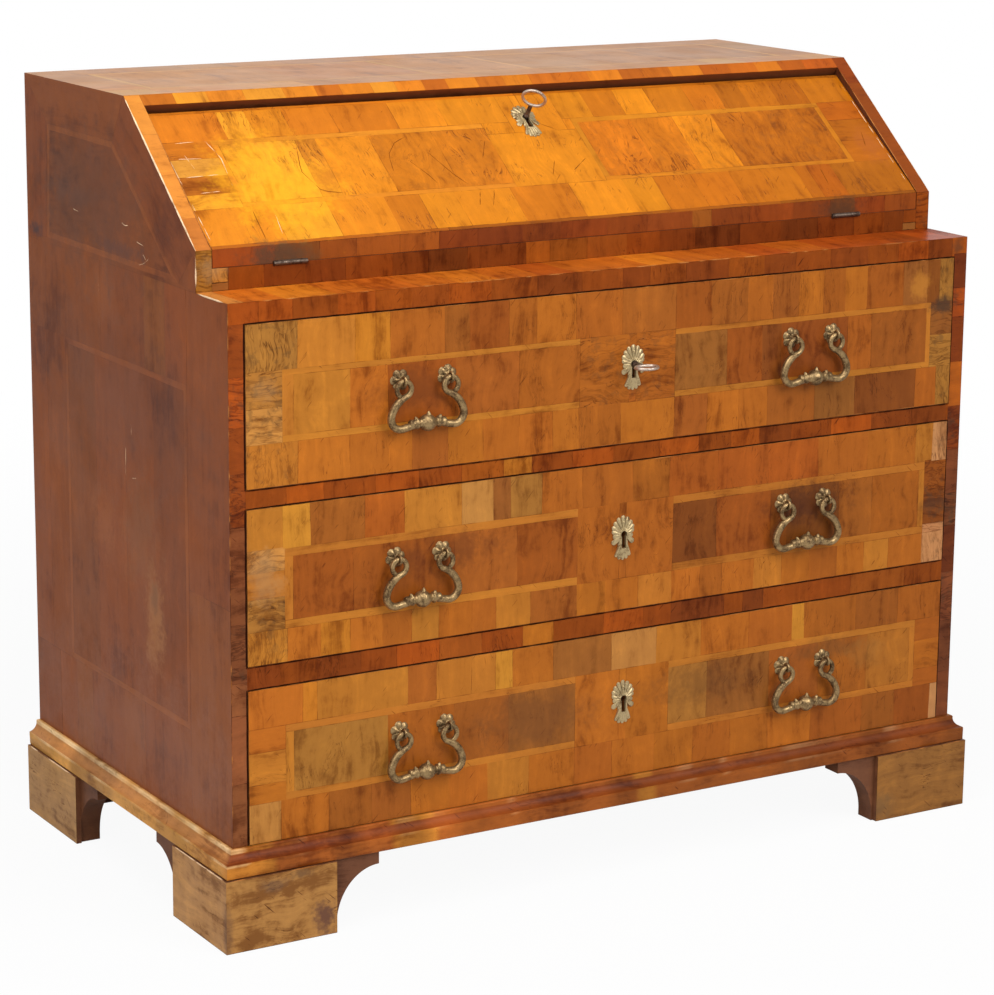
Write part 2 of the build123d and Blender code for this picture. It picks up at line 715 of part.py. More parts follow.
def small_drawer(left, name):
    """Small drawer with a thick front, thin sides and bottom, and a turned knob."""
    right = left + bay
    x_low, x_high = left + small_gap, right - small_gap
    z_low, z_high = desk_top + 0.4, shelf_bottom - small_gap
    behind = interior_front + 10.0
    end = inside_back - 8.0
    side_board, floor_board = 6.0, 4.0
    pieces = [block((x_low, x_high), (interior_front, behind), (z_low, z_high)),
              block((x_low, x_low + side_board), (behind, end), (z_low, z_high - 4)),
              block((x_high - side_board, x_high), (behind, end), (z_low, z_high - 4)),
              block((x_low + side_board, x_high - side_board), (end - side_board, end),
                    (z_low, z_high - 4)),
              block((x_low + side_board, x_high - side_board), (behind, end - side_board),
                    (z_low, z_low + floor_board))]
    knob_face = Plane(origin=((left + right) / 2, interior_front, (z_low + z_high) / 2),
                      x_dir=(1, 0, 0), z_dir=(0, -1, 0))
    with BuildPart() as knob:
        with BuildSketch(knob_face):
            Circle(3.0)
        extrude(amount=8.0)
        with Locations(knob_face.offset(10.0)):
            Sphere(6.0)
    pieces.append(knob.part)
    save(group(pieces), name)


for number in range(small_drawers):
    small_drawer(-inner + number * (bay + thin), f"small_drawer_{number + 1}")
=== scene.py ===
"""Looks of a slant-front walnut bureau: veneers laid piece by piece, cast brass handles, worn mouldings.

Lengths in this file are millimetres until a mesh is made; the meshes are metres in the CAD frame.
"""

import json

import bpy
import numpy as np
from math import cos, pi, radians, sin, tan
from mathutils import Matrix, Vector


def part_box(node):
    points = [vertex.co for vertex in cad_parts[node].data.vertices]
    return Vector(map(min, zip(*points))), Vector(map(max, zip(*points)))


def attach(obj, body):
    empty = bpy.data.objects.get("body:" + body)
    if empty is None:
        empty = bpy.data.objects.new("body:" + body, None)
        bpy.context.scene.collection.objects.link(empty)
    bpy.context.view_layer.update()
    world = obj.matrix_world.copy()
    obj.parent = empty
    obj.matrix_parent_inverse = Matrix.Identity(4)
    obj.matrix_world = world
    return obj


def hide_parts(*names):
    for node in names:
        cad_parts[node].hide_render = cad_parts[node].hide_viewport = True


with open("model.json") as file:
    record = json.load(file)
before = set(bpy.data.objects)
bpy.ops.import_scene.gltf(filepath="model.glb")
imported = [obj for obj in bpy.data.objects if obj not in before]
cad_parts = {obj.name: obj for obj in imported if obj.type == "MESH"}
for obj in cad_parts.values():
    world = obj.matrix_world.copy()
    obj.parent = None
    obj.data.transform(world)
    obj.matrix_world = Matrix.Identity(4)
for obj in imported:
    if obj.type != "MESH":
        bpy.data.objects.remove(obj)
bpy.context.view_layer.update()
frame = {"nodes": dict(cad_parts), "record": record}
rng = np.random.default_rng(17)

X, Y, Z = np.eye(3)


def low(node):
    """Lowest corner of a CAD node, in millimetres."""
    return np.array(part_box(node)[0]) * 1000


def high(node):
    """Highest corner of a CAD node, in millimetres."""
    return np.array(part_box(node)[1]) * 1000


record_joints = {joint["name"]: joint for joint in frame["record"]["behaviour"]["joints"]}


def joint_place(name):
    """Place of a hinge joint's axis, in millimetres."""
    return np.array(record_joints[name]["pos_m"]) * 1000


# ---------------------------------------------------------------- sizes, from the frame

half = high("side_right")[0]
inner = low("side_right")[0]
front, back = low("side_left")[1], high("side_left")[1]
drawer_face = low("drawer_1_front")[1]
desk_front = low("desk_board")[1]
ledge_bottom, ledge_top = low("ledge_board")[2], high("ledge_board")[2]
desk_top = high("desk_board")[2]
plinth_low, plinth_high = low("moulding_front")[2], high("moulding_front")[2]
case_top = high("side_left")[2]

slant_bottom = 837.2        # where the slanted edges of the sides begin
slant_run = 197.1           # how far back they reach
top_band = 18.4             # veneer between the fall and the top
fall_length = 232.0
key_on_fall = 184.0         # height of the keyhole along the fall

fall_up = np.array(record_joints["fall_bolt_slide"]["axis"])
fall_out = np.array(record_joints["fall_key_turn"]["axis"])
fall_keyhole = joint_place("fall_key_turn")
fall_foot = fall_keyhole - key_on_fall * fall_up
fall_foot[0] = 0.0

slant_up = np.array([0.0, slant_run, case_top - slant_bottom])
slant_length = np.linalg.norm(slant_up)
slant_up = slant_up / slant_length


# ---------------------------------------------------------------- meshes

def make_mesh(name, points, faces, body, material, smooth_angle=None):
    """One piece from points in millimetres and a list of faces, riding on a body."""
    mesh = bpy.data.meshes.new(name)
    mesh.from_pydata((np.asarray(points) / 1000).tolist(), [], faces)
    mesh.update()
    mesh.materials.append(material)
    if smooth_angle is not None:
        mesh.shade_smooth()
        mesh.set_sharp_from_angle(angle=radians(smooth_angle))
    piece = bpy.data.objects.new(name, mesh)
    bpy.context.scene.collection.objects.link(piece)
    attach(piece, body)
    return piece


def join(parts):
    """Several (points, faces) parts as one."""
    points, faces, count = [], [], 0
    for part_points, part_faces in parts:
        points.append(part_points)
        faces += [[corner + count for corner in face] for face in part_faces]
        count += len(part_points)
    return np.concatenate(points), faces


def grid_faces(rows, columns, wrap_rows, wrap_columns):
    """Quads of a grid of points, row after row; a wrapped direction closes on itself."""
    r = np.arange(rows if wrap_rows else rows - 1)[:, None]
    c = np.arange(columns if wrap_columns else columns - 1)[None, :]
    near, far = r * columns, (r + 1) % rows * columns
    left, right = c, (c + 1) % columns
    quads = np.stack([near + left, near + right, far + right, far + left], -1)
    return quads.reshape(-1, 4).tolist()


def rod(path, radius, normal, sides=20, closed=False):
    """Round rod along a flat path: circles square to the path, whose radius changes along it.

    A point is path + radius * (cos(turn) * side + sin(turn) * normal), where side lies in the
    path's plane, square to its direction.
    """
    path = np.asarray(path, float)
    if closed:
        ahead = np.roll(path, -1, 0) - np.roll(path, 1, 0)
    else:
        ahead = np.gradient(path, axis=0)
    ahead /= np.linalg.norm(ahead, axis=1, keepdims=True)
    side = np.cross(normal, ahead)
    turn = np.linspace(0, 2 * pi, sides, endpoint=False)[None, :, None]
    reach = np.broadcast_to(np.asarray(radius, float), len(path))[:, None, None]
    points = path[:, None] + reach * (np.cos(turn) * side[:, None] + np.sin(turn) * normal)
    faces = grid_faces(len(path), sides, closed, True)
    if not closed:
        last = (len(path) - 1) * sides
        faces.append(list(range(sides))[::-1])
        faces.append([last + i for i in range(sides)])
        faces = [face[::-1] for face in faces]
    return points.reshape(-1, 3), faces if not closed else [face[::-1] for face in faces]


def turned(start, axis, profile, sides=28):
    """Turned shape: (distance along the axis, radius) points, filled in four times finer, spun round."""
    along, radius = np.array(profile, float).T
    fine = np.linspace(along[0], along[-1], 4 * len(along))
    wide = np.interp(fine, along, radius)
    normal = Z if abs(axis[2]) < 0.9 else X
    normal = normal - np.dot(normal, axis) * axis
    normal /= np.linalg.norm(normal)
    return rod(start + fine[:, None] * axis, wide, normal, sides)


def ring(centre, radius, thickness, across, normal, squash=1.0, sides=14):
    """Closed ring: a circle, or an ellipse squashed across, with a round section."""
    turn = np.linspace(0, 2 * pi, 56, endpoint=False)[:, None]
    up = np.cross(normal, across)
    path = centre + radius * (np.cos(turn) * across + squash * np.sin(turn) * up)
    return rod(path, thickness, normal, sides, closed=True)


def bar(centre, axes, sizes):
    """Rectangular bar with its three axes and full sizes."""
    signs = np.array([[i, j, k] for i in (-1, 1) for j in (-1, 1) for k in (-1, 1)]) / 2
    points = centre + (signs * sizes) @ np.array(axes)
    faces = [[0, 1, 3, 2], [4, 6, 7, 5], [0, 4, 5, 1], [2, 3, 7, 6], [0, 2, 6, 4], [1, 5, 7, 3]]
    return points, faces


# ---------------------------------------------------------------- woods by name

def linear(colour):
    """Linear red, green and blue of a hex colour."""
    value = np.array([int(colour[i:i + 2], 16) for i in (1, 3, 5)]) / 255
    return np.where(value < 0.04045, value / 12.92, ((value + 0.055) / 1.055) ** 2.4)


woods = {letter: linear(colour) for letter, colour in {
    "a": "#cc8028",   # amber
    "b": "#d69636",   # bright yellow
    "c": "#bc782e",   # tan gold
    "d": "#b66822",   # orange
    "e": "#a85c20",   # orange brown
    "f": "#985422",   # brown
    "g": "#8f481a",   # red brown
    "h": "#7a3c1a",   # dark red brown
    "i": "#703a1c",   # dark brown
    "j": "#5e2f17",   # very dark
    "k": "#a67638",   # greenish tan
    "l": "#c48c4c",   # pale and worn
    "m": "#8c582c",   # grey brown
    "p": "#d0986c",   # pink, scuffed bare
    "r": "#a6521c",   # red orange
    "s": "#c27c30",   # stringing
    "t": "#865034",   # side: dark red brown
    "u": "#8f5a3c",   # side: lighter front boards
    "v": "#7e4c32",   # side: inner panel
    "w": "#986044",   # side: stringing
    "x": "#c98f56",   # foot facings
    "y": "#bf8248",   # foot facings, browner
}.items()}

edge_width = 0.9            # strip along each joint that takes the glue line
damaged = 1.0               # what a cracked and dirty veneer adds to its figure
sunk, proud = 0.35, 0.2     # a veneer lies this deep in the board, and stands this far out of it


class Board:
    """A flat face: a point on it is origin + a * across + b * up, and it faces across x up."""

    def __init__(self, origin, across, up):
        self.origin, self.across, self.up = np.array(origin, float), across, up
        self.out = np.cross(across, up)

    def place(self, flat, out):
        """Points of the frame for (a, b) pairs and a height over the face."""
        return (self.origin + flat[..., :1] * self.across + flat[..., 1:] * self.up
                + out * self.out)


def cut_list(text):
    """Reads a cutting list such as 'a-455 b-378': a wood's letter and where its veneer ends."""
    return [(pair[0], float(pair[1:])) for pair in text.split()]


def laid_between(bottom, top, start, cuts, grain="up", figure=0.5):
    """A row of veneers from start, by a cutting list or by pairs of a wood and an end.

    The joints between them lean a little, as cut by hand. A capital letter is a damaged veneer.
    """
    cuts = cut_list(cuts) if isinstance(cuts, str) else cuts
    ends = [end for wood, end in cuts]
    lean = np.clip(rng.normal(0, 0.012, len(ends)), -0.03, 0.03) * (top - bottom)
    lean[-1] = 0.0
    row, start_lean = [], 0.0
    for (wood, end), over in zip(cuts, lean):
        row.append(([(start, bottom), (end, bottom), (end + over, top), (start + start_lean, top)],
                    wood.lower(), grain, figure + damaged * wood.isupper()))
        start, start_lean = end, over
    return row


def stacked(left, right, bottom, cuts, grain="across", figure=0.5):
    """A column of veneers from the bottom up, by a cutting list or by pairs of a wood and an end."""
    cuts = cut_list(cuts) if isinstance(cuts, str) else cuts
    column = []
    for wood, end in cuts:
        column.append(([(left, bottom), (right, bottom), (right, end), (left, end)],
                       wood.lower(), grain, figure + damaged * wood.isupper()))
        bottom = end
    return column


grain_turn = {"up": pi / 2, "across": 0.0}


def veneer(name, body, material, laid, tint=(1.0, 1.0, 1.0), calm=0.0, middle="e",
           right=None):
    """Thin closed sheets of veneer, one for each quadrilateral, as one piece.

    laid is a list of (board, veneers). Each sheet is a 4 x 4 grid of points on its face and one on
    its back: the outer strips, edge_width wide, carry the joint. The face keeps a colour, how
    strongly it is figured, where it lies along and across its grain, and how near a joint is.
    calm draws all its woods towards the middle one, as years of light and polish do. The tint
    may become another one towards the right: painted shade, lighter at the left end and darker
    at the right, as the light falls across the piece.
    """
    quads, boards, tones, turns, figures = [], [], [], [], []
    tint_left, tint_right_with_painted_shade = np.array(tint), np.array(tint if right is None else right)
    for board, sheets in laid:
        for corners, wood, grain, figure in sheets:
            quads.append(corners)
            boards.append(board)
            # share runs from the left end, 0, to the right, 1; the change of tint along it is painted
            # shade, darker to the right
            share = np.mean([corner[0] for corner in corners]) / (2 * half) + 0.5
            tones.append((woods[wood] * (1 - calm) + woods[middle] * calm)
                         * (tint_left * (1 - share) + tint_right_with_painted_shade * share))
            turns.append(grain_turn.get(grain, grain))
            figures.append(figure)
    quads = np.array(quads, float)
    count = len(quads)
    sides = np.linalg.norm(np.roll(quads, -1, 1) - quads, axis=2)
    wide, tall = (sides[:, 0] + sides[:, 2]) / 2, (sides[:, 1] + sides[:, 3]) / 2
    inset_s = np.minimum(edge_width / wide, 0.3)
    inset_t = np.minimum(edge_width / tall, 0.3)
    zero, one = np.zeros(count), np.ones(count)
    s = np.stack([zero, inset_s, 1 - inset_s, one], 1)[:, None, :, None]
    t = np.stack([zero, inset_t, 1 - inset_t, one], 1)[:, :, None, None]
    a, b, c, d = (quads[:, None, None, i] for i in range(4))
    flat = ((1 - s) * (1 - t) * a + s * (1 - t) * b + s * t * c + (1 - s) * t * d)
    flat = flat.reshape(count, 16, 2)

    lift = rng.uniform(-0.05, 0.05, (count, 1, 1))
    face = np.stack([board.place(f, proud + h) for board, f, h in zip(boards, flat, lift)])
    rear = np.stack([board.place(f, -sunk) for board, f in zip(boards, flat)])
    points = np.concatenate([face, rear], 1).reshape(-1, 3)

    top = np.array(grid_faces(4, 4, False, False))
    rim = np.array([0, 1, 2, 3, 7, 11, 15, 14, 13, 12, 8, 4])
    after = np.roll(rim, -1)
    wall = np.stack([rim + 16, after + 16, after, rim], 1)
    one_sheet = np.concatenate([top, top[:, ::-1] + 16, wall])
    faces = (one_sheet[None] + 32 * np.arange(count)[:, None, None]).reshape(-1, 4)

    piece = make_mesh(name, points, faces.tolist(), body, material)
    mesh = piece.data
    turns = np.array(turns)[:, None]
    offset = rng.uniform(0, 40, (count, 2))
    along = flat[..., 0] * np.cos(turns) + flat[..., 1] * np.sin(turns)
    cross = -flat[..., 0] * np.sin(turns) + flat[..., 1] * np.cos(turns)
    grain_place = np.stack([along, cross], -1) / 1000 + offset[:, None]
    grain_place = np.concatenate([grain_place, grain_place], 1).reshape(-1, 2)
    corners = faces.reshape(-1)
    mesh.uv_layers.new(name="grain").data.foreach_set("uv", grain_place[corners].ravel())

    shade = rng.uniform(0.93, 1.07, (count, 1)) * rng.uniform(0.97, 1.03, (count, 3))
    colour = np.concatenate([np.array(tones) * shade, np.array(figures)[:, None]], 1)
    tone = mesh.color_attributes.new("tone", "FLOAT_COLOR", "POINT")
    tone.data.foreach_set("color", np.repeat(colour, 32, 0).ravel())
    inside = np.zeros((4, 4))
    inside[1:3, 1:3] = 1
    near_joint = np.tile(np.concatenate([inside.ravel(), inside.ravel()]), count)
    mesh.attributes.new("inside", "FLOAT", "POINT").data.foreach_set("value", near_joint)
    return piece


# ---------------------------------------------------------------- shader tools

def add(tree, kind, settings=None, **inputs):
    """Adds a node; an input is a constant or a socket to link, named as on the node."""
    node = tree.nodes.new(kind)
    for key, value in (settings or {}).items():
        setattr(node, key, value)
    for key, value in inputs.items():
        socket = node.inputs[int(key[1:])] if key[0] == "n" and key[1:].isdigit() else \
            node.inputs[key.replace("_", " ")]
        if isinstance(value, bpy.types.NodeSocket):
            tree.links.new(value, socket)
        else:
            socket.default_value = value
    return node


def calc(tree, operation, a, b=0.0, c=0.0, clamp=False):
    """Result of one sum on values; c is what MULTIPLY_ADD adds."""
    return add(tree, "ShaderNodeMath", {"operation": operation, "use_clamp": clamp},
               n0=a, n1=b, n2=c).outputs[0]


def swung(tree, value, pattern, strength):
    """A value pushed up and down by a pattern from 0 to 1: value + strength * (pattern - 0.5)."""
    return calc(tree, "MULTIPLY_ADD", calc(tree, "SUBTRACT", pattern, 0.5), strength, value)


def vector(tree, operation, a, b):
    """Result of one sum on vectors."""
    return add(tree, "ShaderNodeVectorMath", {"operation": operation}, n0=a, n1=b).outputs[0]


def blend(tree, share, a, b, kind="MIX"):
    """Colour b over colour a by a share."""
    return add(tree, "ShaderNodeMix", {"data_type": "RGBA", "blend_type": kind},
               n0=share, n6=a, n7=b).outputs[2]


def tinted(tree, share, colour, tint):
    """A colour multiplied by a tint, by a share."""
    return blend(tree, share, colour, blend(tree, 1.0, colour, (*tint, 1), "MULTIPLY"))


def between(tree, value, low_end, high_end):
    """0 below low_end, 1 above high_end, and smooth between."""
    return add(tree, "ShaderNodeMapRange", {"interpolation_type": "SMOOTHSTEP"},
               Value=value, From_Min=low_end, From_Max=high_end).outputs[0]


def noise(tree, place, scale, detail=3.0, rough=0.5, stretch=None):
    """Noise from 0 to 1 at a place, which may be stretched along the grain first."""
    if stretch is not None:
        along, cross = stretch
        place = add(tree, "ShaderNodeMapping", n0=place, Scale=(along, cross, cross)).outputs[0]
    return add(tree, "ShaderNodeTexNoise", n0=place, Scale=scale, Detail=detail,
               Roughness=rough).outputs["Fac"]


def group(name, inputs, outputs):
    """An empty shader node group with named sockets; returns its tree, input and output nodes."""
    tree = bpy.data.node_groups.new(name, "ShaderNodeTree")
    kinds = {"value": "NodeSocketFloat", "colour": "NodeSocketColor", "vector": "NodeSocketVector"}
    for label, kind, value in inputs:
        socket = tree.interface.new_socket(label, in_out="INPUT", socket_type=kinds[kind])
        if value is not None:
            socket.default_value = value
    for label, kind in outputs:
        tree.interface.new_socket(label, in_out="OUTPUT", socket_type=kinds[kind])
    return tree, tree.nodes.new("NodeGroupInput"), tree.nodes.new("NodeGroupOutput")


def wood_group():
    """Old figured wood: streaks and fibres along the grain, clouds, waves where it is figured,
    open pores, crackled polish, dark glue lines at the joints and dull worn places."""
    tree, given, made = group(
        "old_wood",
        [("Place", "vector", None), ("Case place", "vector", None), ("Tone", "colour", None),
         ("Figure", "value", 0.5), ("Inside", "value", 1.0), ("Contrast", "value", 1.0),
         ("Crackle", "value", 0.3), ("Glue line", "value", 0.5), ("Polish", "value", 0.7),
         ("Clouds", "value", 0.5), ("Scratches", "value", 0.2)],
        [("Color", "colour"), ("Roughness", "value"), ("Height", "value")])
    place, case_place = given.outputs["Place"], given.outputs["Case place"]
    figure, contrast = given.outputs["Figure"], given.outputs["Contrast"]

    drift = add(tree, "ShaderNodeTexNoise", n0=place, Scale=14.0, Detail=2.0).outputs["Color"]
    push = vector(tree, "SUBTRACT", drift, (0.5, 0.5, 0.5))
    whole = calc(tree, "MINIMUM", figure, 1.0)
    broken = calc(tree, "MAXIMUM", calc(tree, "SUBTRACT", figure, 1.0), 0.0)
    reach = calc(tree, "MULTIPLY_ADD", whole, 0.05, 0.006)
    reach = calc(tree, "MULTIPLY_ADD", broken, -0.035, reach)
    push = add(tree, "ShaderNodeVectorMath", {"operation": "SCALE"}, n0=push, Scale=reach).outputs[0]
    bent = vector(tree, "ADD", place, push)

    streaks = noise(tree, bent, 1.0, 4.0, 0.55, (3.2, 62.0))
    lines = noise(tree, bent, 1.0, 3.0, 0.6, (9.0, 240.0))
    fibres = noise(tree, bent, 1.0, 3.0, 0.6, (45.0, 900.0))
    pores = noise(tree, bent, 1.0, 2.0, 0.5, (160.0, 2300.0))
    clouds = noise(tree, bent, 19.0, 3.0, 0.5)
    wide = noise(tree, case_place, 6.0, 3.0, 0.55)
    flecks = noise(tree, bent, 120.0, 3.0, 0.6)
    rings = add(tree, "ShaderNodeTexWave", {"bands_direction": "Y", "wave_profile": "SIN"},
                n0=add(tree, "ShaderNodeMapping", n0=bent, Scale=(9.0, 26.0, 26.0)).outputs[0],
                Scale=1.0, Distortion=7.0, Detail=2.0, Detail_Scale=0.8).outputs["Fac"]

    mottle = noise(tree, case_place, 46.0, 5.0, 0.62)
    value = swung(tree, 0.5, streaks, 1.0)
    value = swung(tree, value, lines, 0.40)
    value = swung(tree, value, fibres, 0.25)
    value = swung(tree, value, clouds, calc(tree, "MULTIPLY_ADD", whole, 0.8, 0.25))
    squared = calc(tree, "MULTIPLY", whole, whole)
    value = swung(tree, value, rings, calc(tree, "MULTIPLY", squared, 0.12))
    value = swung(tree, value, flecks, calc(tree, "MULTIPLY", whole, 0.40))
    value = swung(tree, value, wide, given.outputs["Clouds"])
    value = swung(tree, value, mottle, 0.75)
    value = swung(tree, 0.5, value, contrast)

    tone = given.outputs["Tone"]
    dark = blend(tree, 1.0, tone, (0.50, 0.40, 0.30, 1), "MULTIPLY")
    pale = blend(tree, 1.0, tone, (1.30, 1.32, 1.25, 1), "MULTIPLY")
    colour = blend(tree, between(tree, value, 0.0, 0.52), dark, tone)
    colour = blend(tree, between(tree, value, 0.48, 1.05), colour, pale)

    pore_mask = between(tree, pores, 0.62, 0.74)
    colour = tinted(tree, calc(tree, "MULTIPLY", pore_mask, 0.30), colour, (0.40, 0.32, 0.26))

    veins = noise(tree, bent, 1.0, 3.0, 0.6, (11.0, 120.0))
    level = calc(tree, "ABSOLUTE", calc(tree, "SUBTRACT", veins, 0.5))
    line_width = calc(tree, "MULTIPLY_ADD", broken, 0.07, 0.016)
    web = calc(tree, "SUBTRACT", 1.0, between(tree, level, 0.0, line_width))
    where = between(tree, noise(tree, case_place, 21.0, 3.0), 0.52, 0.66)
    where = calc(tree, "MAXIMUM", where, calc(tree, "MULTIPLY", broken, 1.2, clamp=True))
    crack = calc(tree, "MULTIPLY", calc(tree, "MULTIPLY", web, where),
                 calc(tree, "ADD", given.outputs["Crackle"], calc(tree, "MULTIPLY", broken, 0.5)),
                 clamp=True)
    colour = tinted(tree, crack, colour, (0.34, 0.25, 0.19))
    slanted = add(tree, "ShaderNodeMapping", n0=place, Rotation=(0, 0, 0.75)).outputs[0]
    dashes = between(tree, noise(tree, slanted, 1.0, 2.0, 0.5, (34.0, 330.0)), 0.68, 0.74)
    dashes = calc(tree, "MULTIPLY", dashes, given.outputs["Scratches"])
    colour = tinted(tree, dashes, colour, (0.30, 0.18, 0.12))
    dirt = between(tree, noise(tree, case_place, 75.0, 4.0, 0.65), 0.5, 0.66)
    dirt = calc(tree, "MULTIPLY", dirt, calc(tree, "MULTIPLY", broken, 0.8, clamp=True))
    colour = blend(tree, dirt, colour, (0.055, 0.032, 0.016, 1))

    ragged = calc(tree, "MULTIPLY_ADD", noise(tree, case_place, 160.0, 2.0), 0.9, -0.42)
    glue = calc(tree, "SUBTRACT", 1.0,
                between(tree, calc(tree, "ADD", given.outputs["Inside"], ragged), 0.05, 0.75))
    patchy = between(tree, noise(tree, case_place, 30.0, 2.0), 0.34, 0.62)
    glue = calc(tree, "MULTIPLY", glue, calc(tree, "MULTIPLY", patchy, given.outputs["Glue line"]))
    filled = between(tree, noise(tree, case_place, 13.0, 2.0), 0.56, 0.64)
    filler = blend(tree, calc(tree, "MULTIPLY", filled, 0.7),
                   blend(tree, 1.0, colour, (0.30, 0.20, 0.14, 1), "MULTIPLY"),
                   blend(tree, 1.0, colour, (1.5, 1.6, 1.9, 1), "MULTIPLY"))
    colour = blend(tree, glue, colour, filler)
    tree.links.new(colour, made.inputs["Color"])

    dull = between(tree, noise(tree, case_place, 11.0, 4.0), 0.35, 0.75)
    rough = calc(tree, "MULTIPLY_ADD", dull, 0.16, 0.46)
    rough = calc(tree, "SUBTRACT", rough, calc(tree, "MULTIPLY", given.outputs["Polish"], 0.22))
    rough = calc(tree, "MULTIPLY_ADD", crack, 0.2, rough)
    tree.links.new(rough, made.inputs["Roughness"])

    swell = noise(tree, case_place, 22.0, 2.0)
    height = calc(tree, "MULTIPLY_ADD", fibres, 0.10, swell)
    height = calc(tree, "MULTIPLY_ADD", pore_mask, -0.06, height)
    height = calc(tree, "MULTIPLY_ADD", crack, -0.25, height)
    height = calc(tree, "MULTIPLY_ADD", glue, -0.18, height)
    tree.links.new(height, made.inputs["Height"])
    return tree


old_wood = wood_group()


def recoloured_place_group():
    """A place of another colour: strongest at a centre, gone at a size along each axis, and its
    rim wanders."""
    tree, given, made = group(
        "stained_place", [("Color", "colour", None), ("Place", "vector", None),
                          ("Centre", "vector", None), ("Size", "vector", None),
                          ("Stain", "colour", None), ("Strength", "value", 0.5)],
        [("Color", "colour")])
    away = vector(tree, "SUBTRACT", given.outputs["Place"], given.outputs["Centre"])
    away = vector(tree, "DIVIDE", away, given.outputs["Size"])
    far = add(tree, "ShaderNodeVectorMath", {"operation": "LENGTH"}, n0=away).outputs["Value"]
    far = swung(tree, far, noise(tree, given.outputs["Place"], 38.0, 4.0, 0.6), 1.4)
    far = swung(tree, far, noise(tree, given.outputs["Place"], 170.0, 3.0, 0.6), 0.9)
    mask = calc(tree, "SUBTRACT", 1.0, between(tree, far, 0.15, 1.0))
    mask = calc(tree, "MULTIPLY", mask, given.outputs["Strength"])
    tree.links.new(blend(tree, mask, given.outputs["Color"], given.outputs["Stain"]),
                   made.inputs["Color"])
    return tree


stained_place = recoloured_place_group()


def new_material(name):
    """An empty node material and its tree, with the output node made."""
    material = bpy.data.materials.new(name)
    material.use_nodes = True
    tree = material.node_tree
    tree.nodes.clear()
    return material, tree, tree.nodes.new("ShaderNodeOutputMaterial")


def wood_material(name, tone=None, along=0, figure=0.4, contrast=1.0, crackle=0.3,
                  glue_line=0.4, polish=0.7, coat=0.0, shine=0.2, bump=0.0004, clouds=0.5,
                  scratches=0.2, stains=()):
    """Polished wood. With a tone it reads Object coordinates, with the grain along one axis;
    without one it reads the colour, grain and joints that a veneer piece carries. A stain is a
    centre, a size and a linear colour, each of three numbers, and a strength; some of the stains
    are painted highlights rather than stains."""
    material, tree, output = new_material(name)
    case_place = add(tree, "ShaderNodeTexCoord").outputs["Object"]
    wood = add(tree, "ShaderNodeGroup", {"node_tree": old_wood}, Contrast=contrast,
               Crackle=crackle, Glue_line=glue_line, Polish=polish, Clouds=clouds,
               Scratches=scratches, Case_place=case_place)
    if tone is None:
        tree.links.new(add(tree, "ShaderNodeUVMap", {"uv_map": "grain"}).outputs[0],
                       wood.inputs["Place"])
        carried = add(tree, "ShaderNodeAttribute", {"attribute_name": "tone"})
        tree.links.new(carried.outputs["Color"], wood.inputs["Tone"])
        tree.links.new(carried.outputs["Alpha"], wood.inputs["Figure"])
        tree.links.new(add(tree, "ShaderNodeAttribute", {"attribute_name": "inside"}).outputs["Fac"],
                       wood.inputs["Inside"])
    else:
        turn = [(0, 0, 0), (0, 0, -pi / 2), (0, pi / 2, 0)][along]
        place = add(tree, "ShaderNodeMapping", n0=case_place, Rotation=turn).outputs[0]
        tree.links.new(place, wood.inputs["Place"])
        wood.inputs["Tone"].default_value = (*linear(tone), 1)
        wood.inputs["Figure"].default_value = figure
    colour = wood.outputs["Color"]
    for centre, size, stain, strength in stains:
        colour = add(tree, "ShaderNodeGroup", {"node_tree": stained_place}, Color=colour,
                     Place=case_place, Centre=centre, Size=size, Stain=(*stain, 1),
                     Strength=strength).outputs["Color"]
    surface = add(tree, "ShaderNodeBsdfPrincipled", Base_Color=colour,
                  Roughness=wood.outputs["Roughness"], Coat_Weight=coat, Coat_Roughness=0.42,
                  Specular_IOR_Level=shine)
    relief = add(tree, "ShaderNodeBump", Strength=1.0, Distance=bump, Height=wood.outputs["Height"])
    tree.links.new(relief.outputs[0], surface.inputs["Normal"])
    tree.links.new(surface.outputs[0], output.inputs["Surface"])
    return material


def metal_group():
    """Old metal: clouds of dull patina, small stains and pits."""
    tree, given, made = group(
        "old_metal", [("Place", "vector", None), ("Bright", "colour", None),
                      ("Patina", "colour", None), ("Age", "value", 0.5)],
        [("Color", "colour"), ("Roughness", "value"), ("Height", "value")])
    place = given.outputs["Place"]
    clouds = noise(tree, place, 90.0, 4.0, 0.6)
    spots = noise(tree, place, 480.0, 3.0, 0.6)
    stain = calc(tree, "MULTIPLY_ADD", spots, 0.55, calc(tree, "MULTIPLY", clouds, 0.75))
    start = calc(tree, "MULTIPLY_ADD", given.outputs["Age"], -0.35, 0.78)
    mask = between(tree, stain, start, calc(tree, "ADD", start, 0.30))
    colour = blend(tree, mask, given.outputs["Bright"], given.outputs["Patina"])
    tree.links.new(colour, made.inputs["Color"])
    tree.links.new(calc(tree, "MULTIPLY_ADD", mask, 0.22, 0.34), made.inputs["Roughness"])
    tree.links.new(calc(tree, "MULTIPLY_ADD", mask, -0.3, spots), made.inputs["Height"])
    return tree


old_metal = metal_group()


def metal_material(name, bright, patina, age, metallic=0.9):
    """Cast or wrought metal with its patina."""
    material, tree, output = new_material(name)
    place = add(tree, "ShaderNodeTexCoord").outputs["Object"]
    worn = add(tree, "ShaderNodeGroup", {"node_tree": old_metal}, Place=place,
               Bright=(*linear(bright), 1), Patina=(*linear(patina), 1), Age=age)
    surface = add(tree, "ShaderNodeBsdfPrincipled", Base_Color=worn.outputs["Color"],
                  Roughness=worn.outputs["Roughness"], Metallic=metallic)
    relief = add(tree, "ShaderNodeBump", Strength=1.0, Distance=0.0002,
                 Height=worn.outputs["Height"])
    tree.links.new(relief.outputs[0], surface.inputs["Normal"])
    tree.links.new(surface.outputs[0], output.inputs["Surface"])
    return material


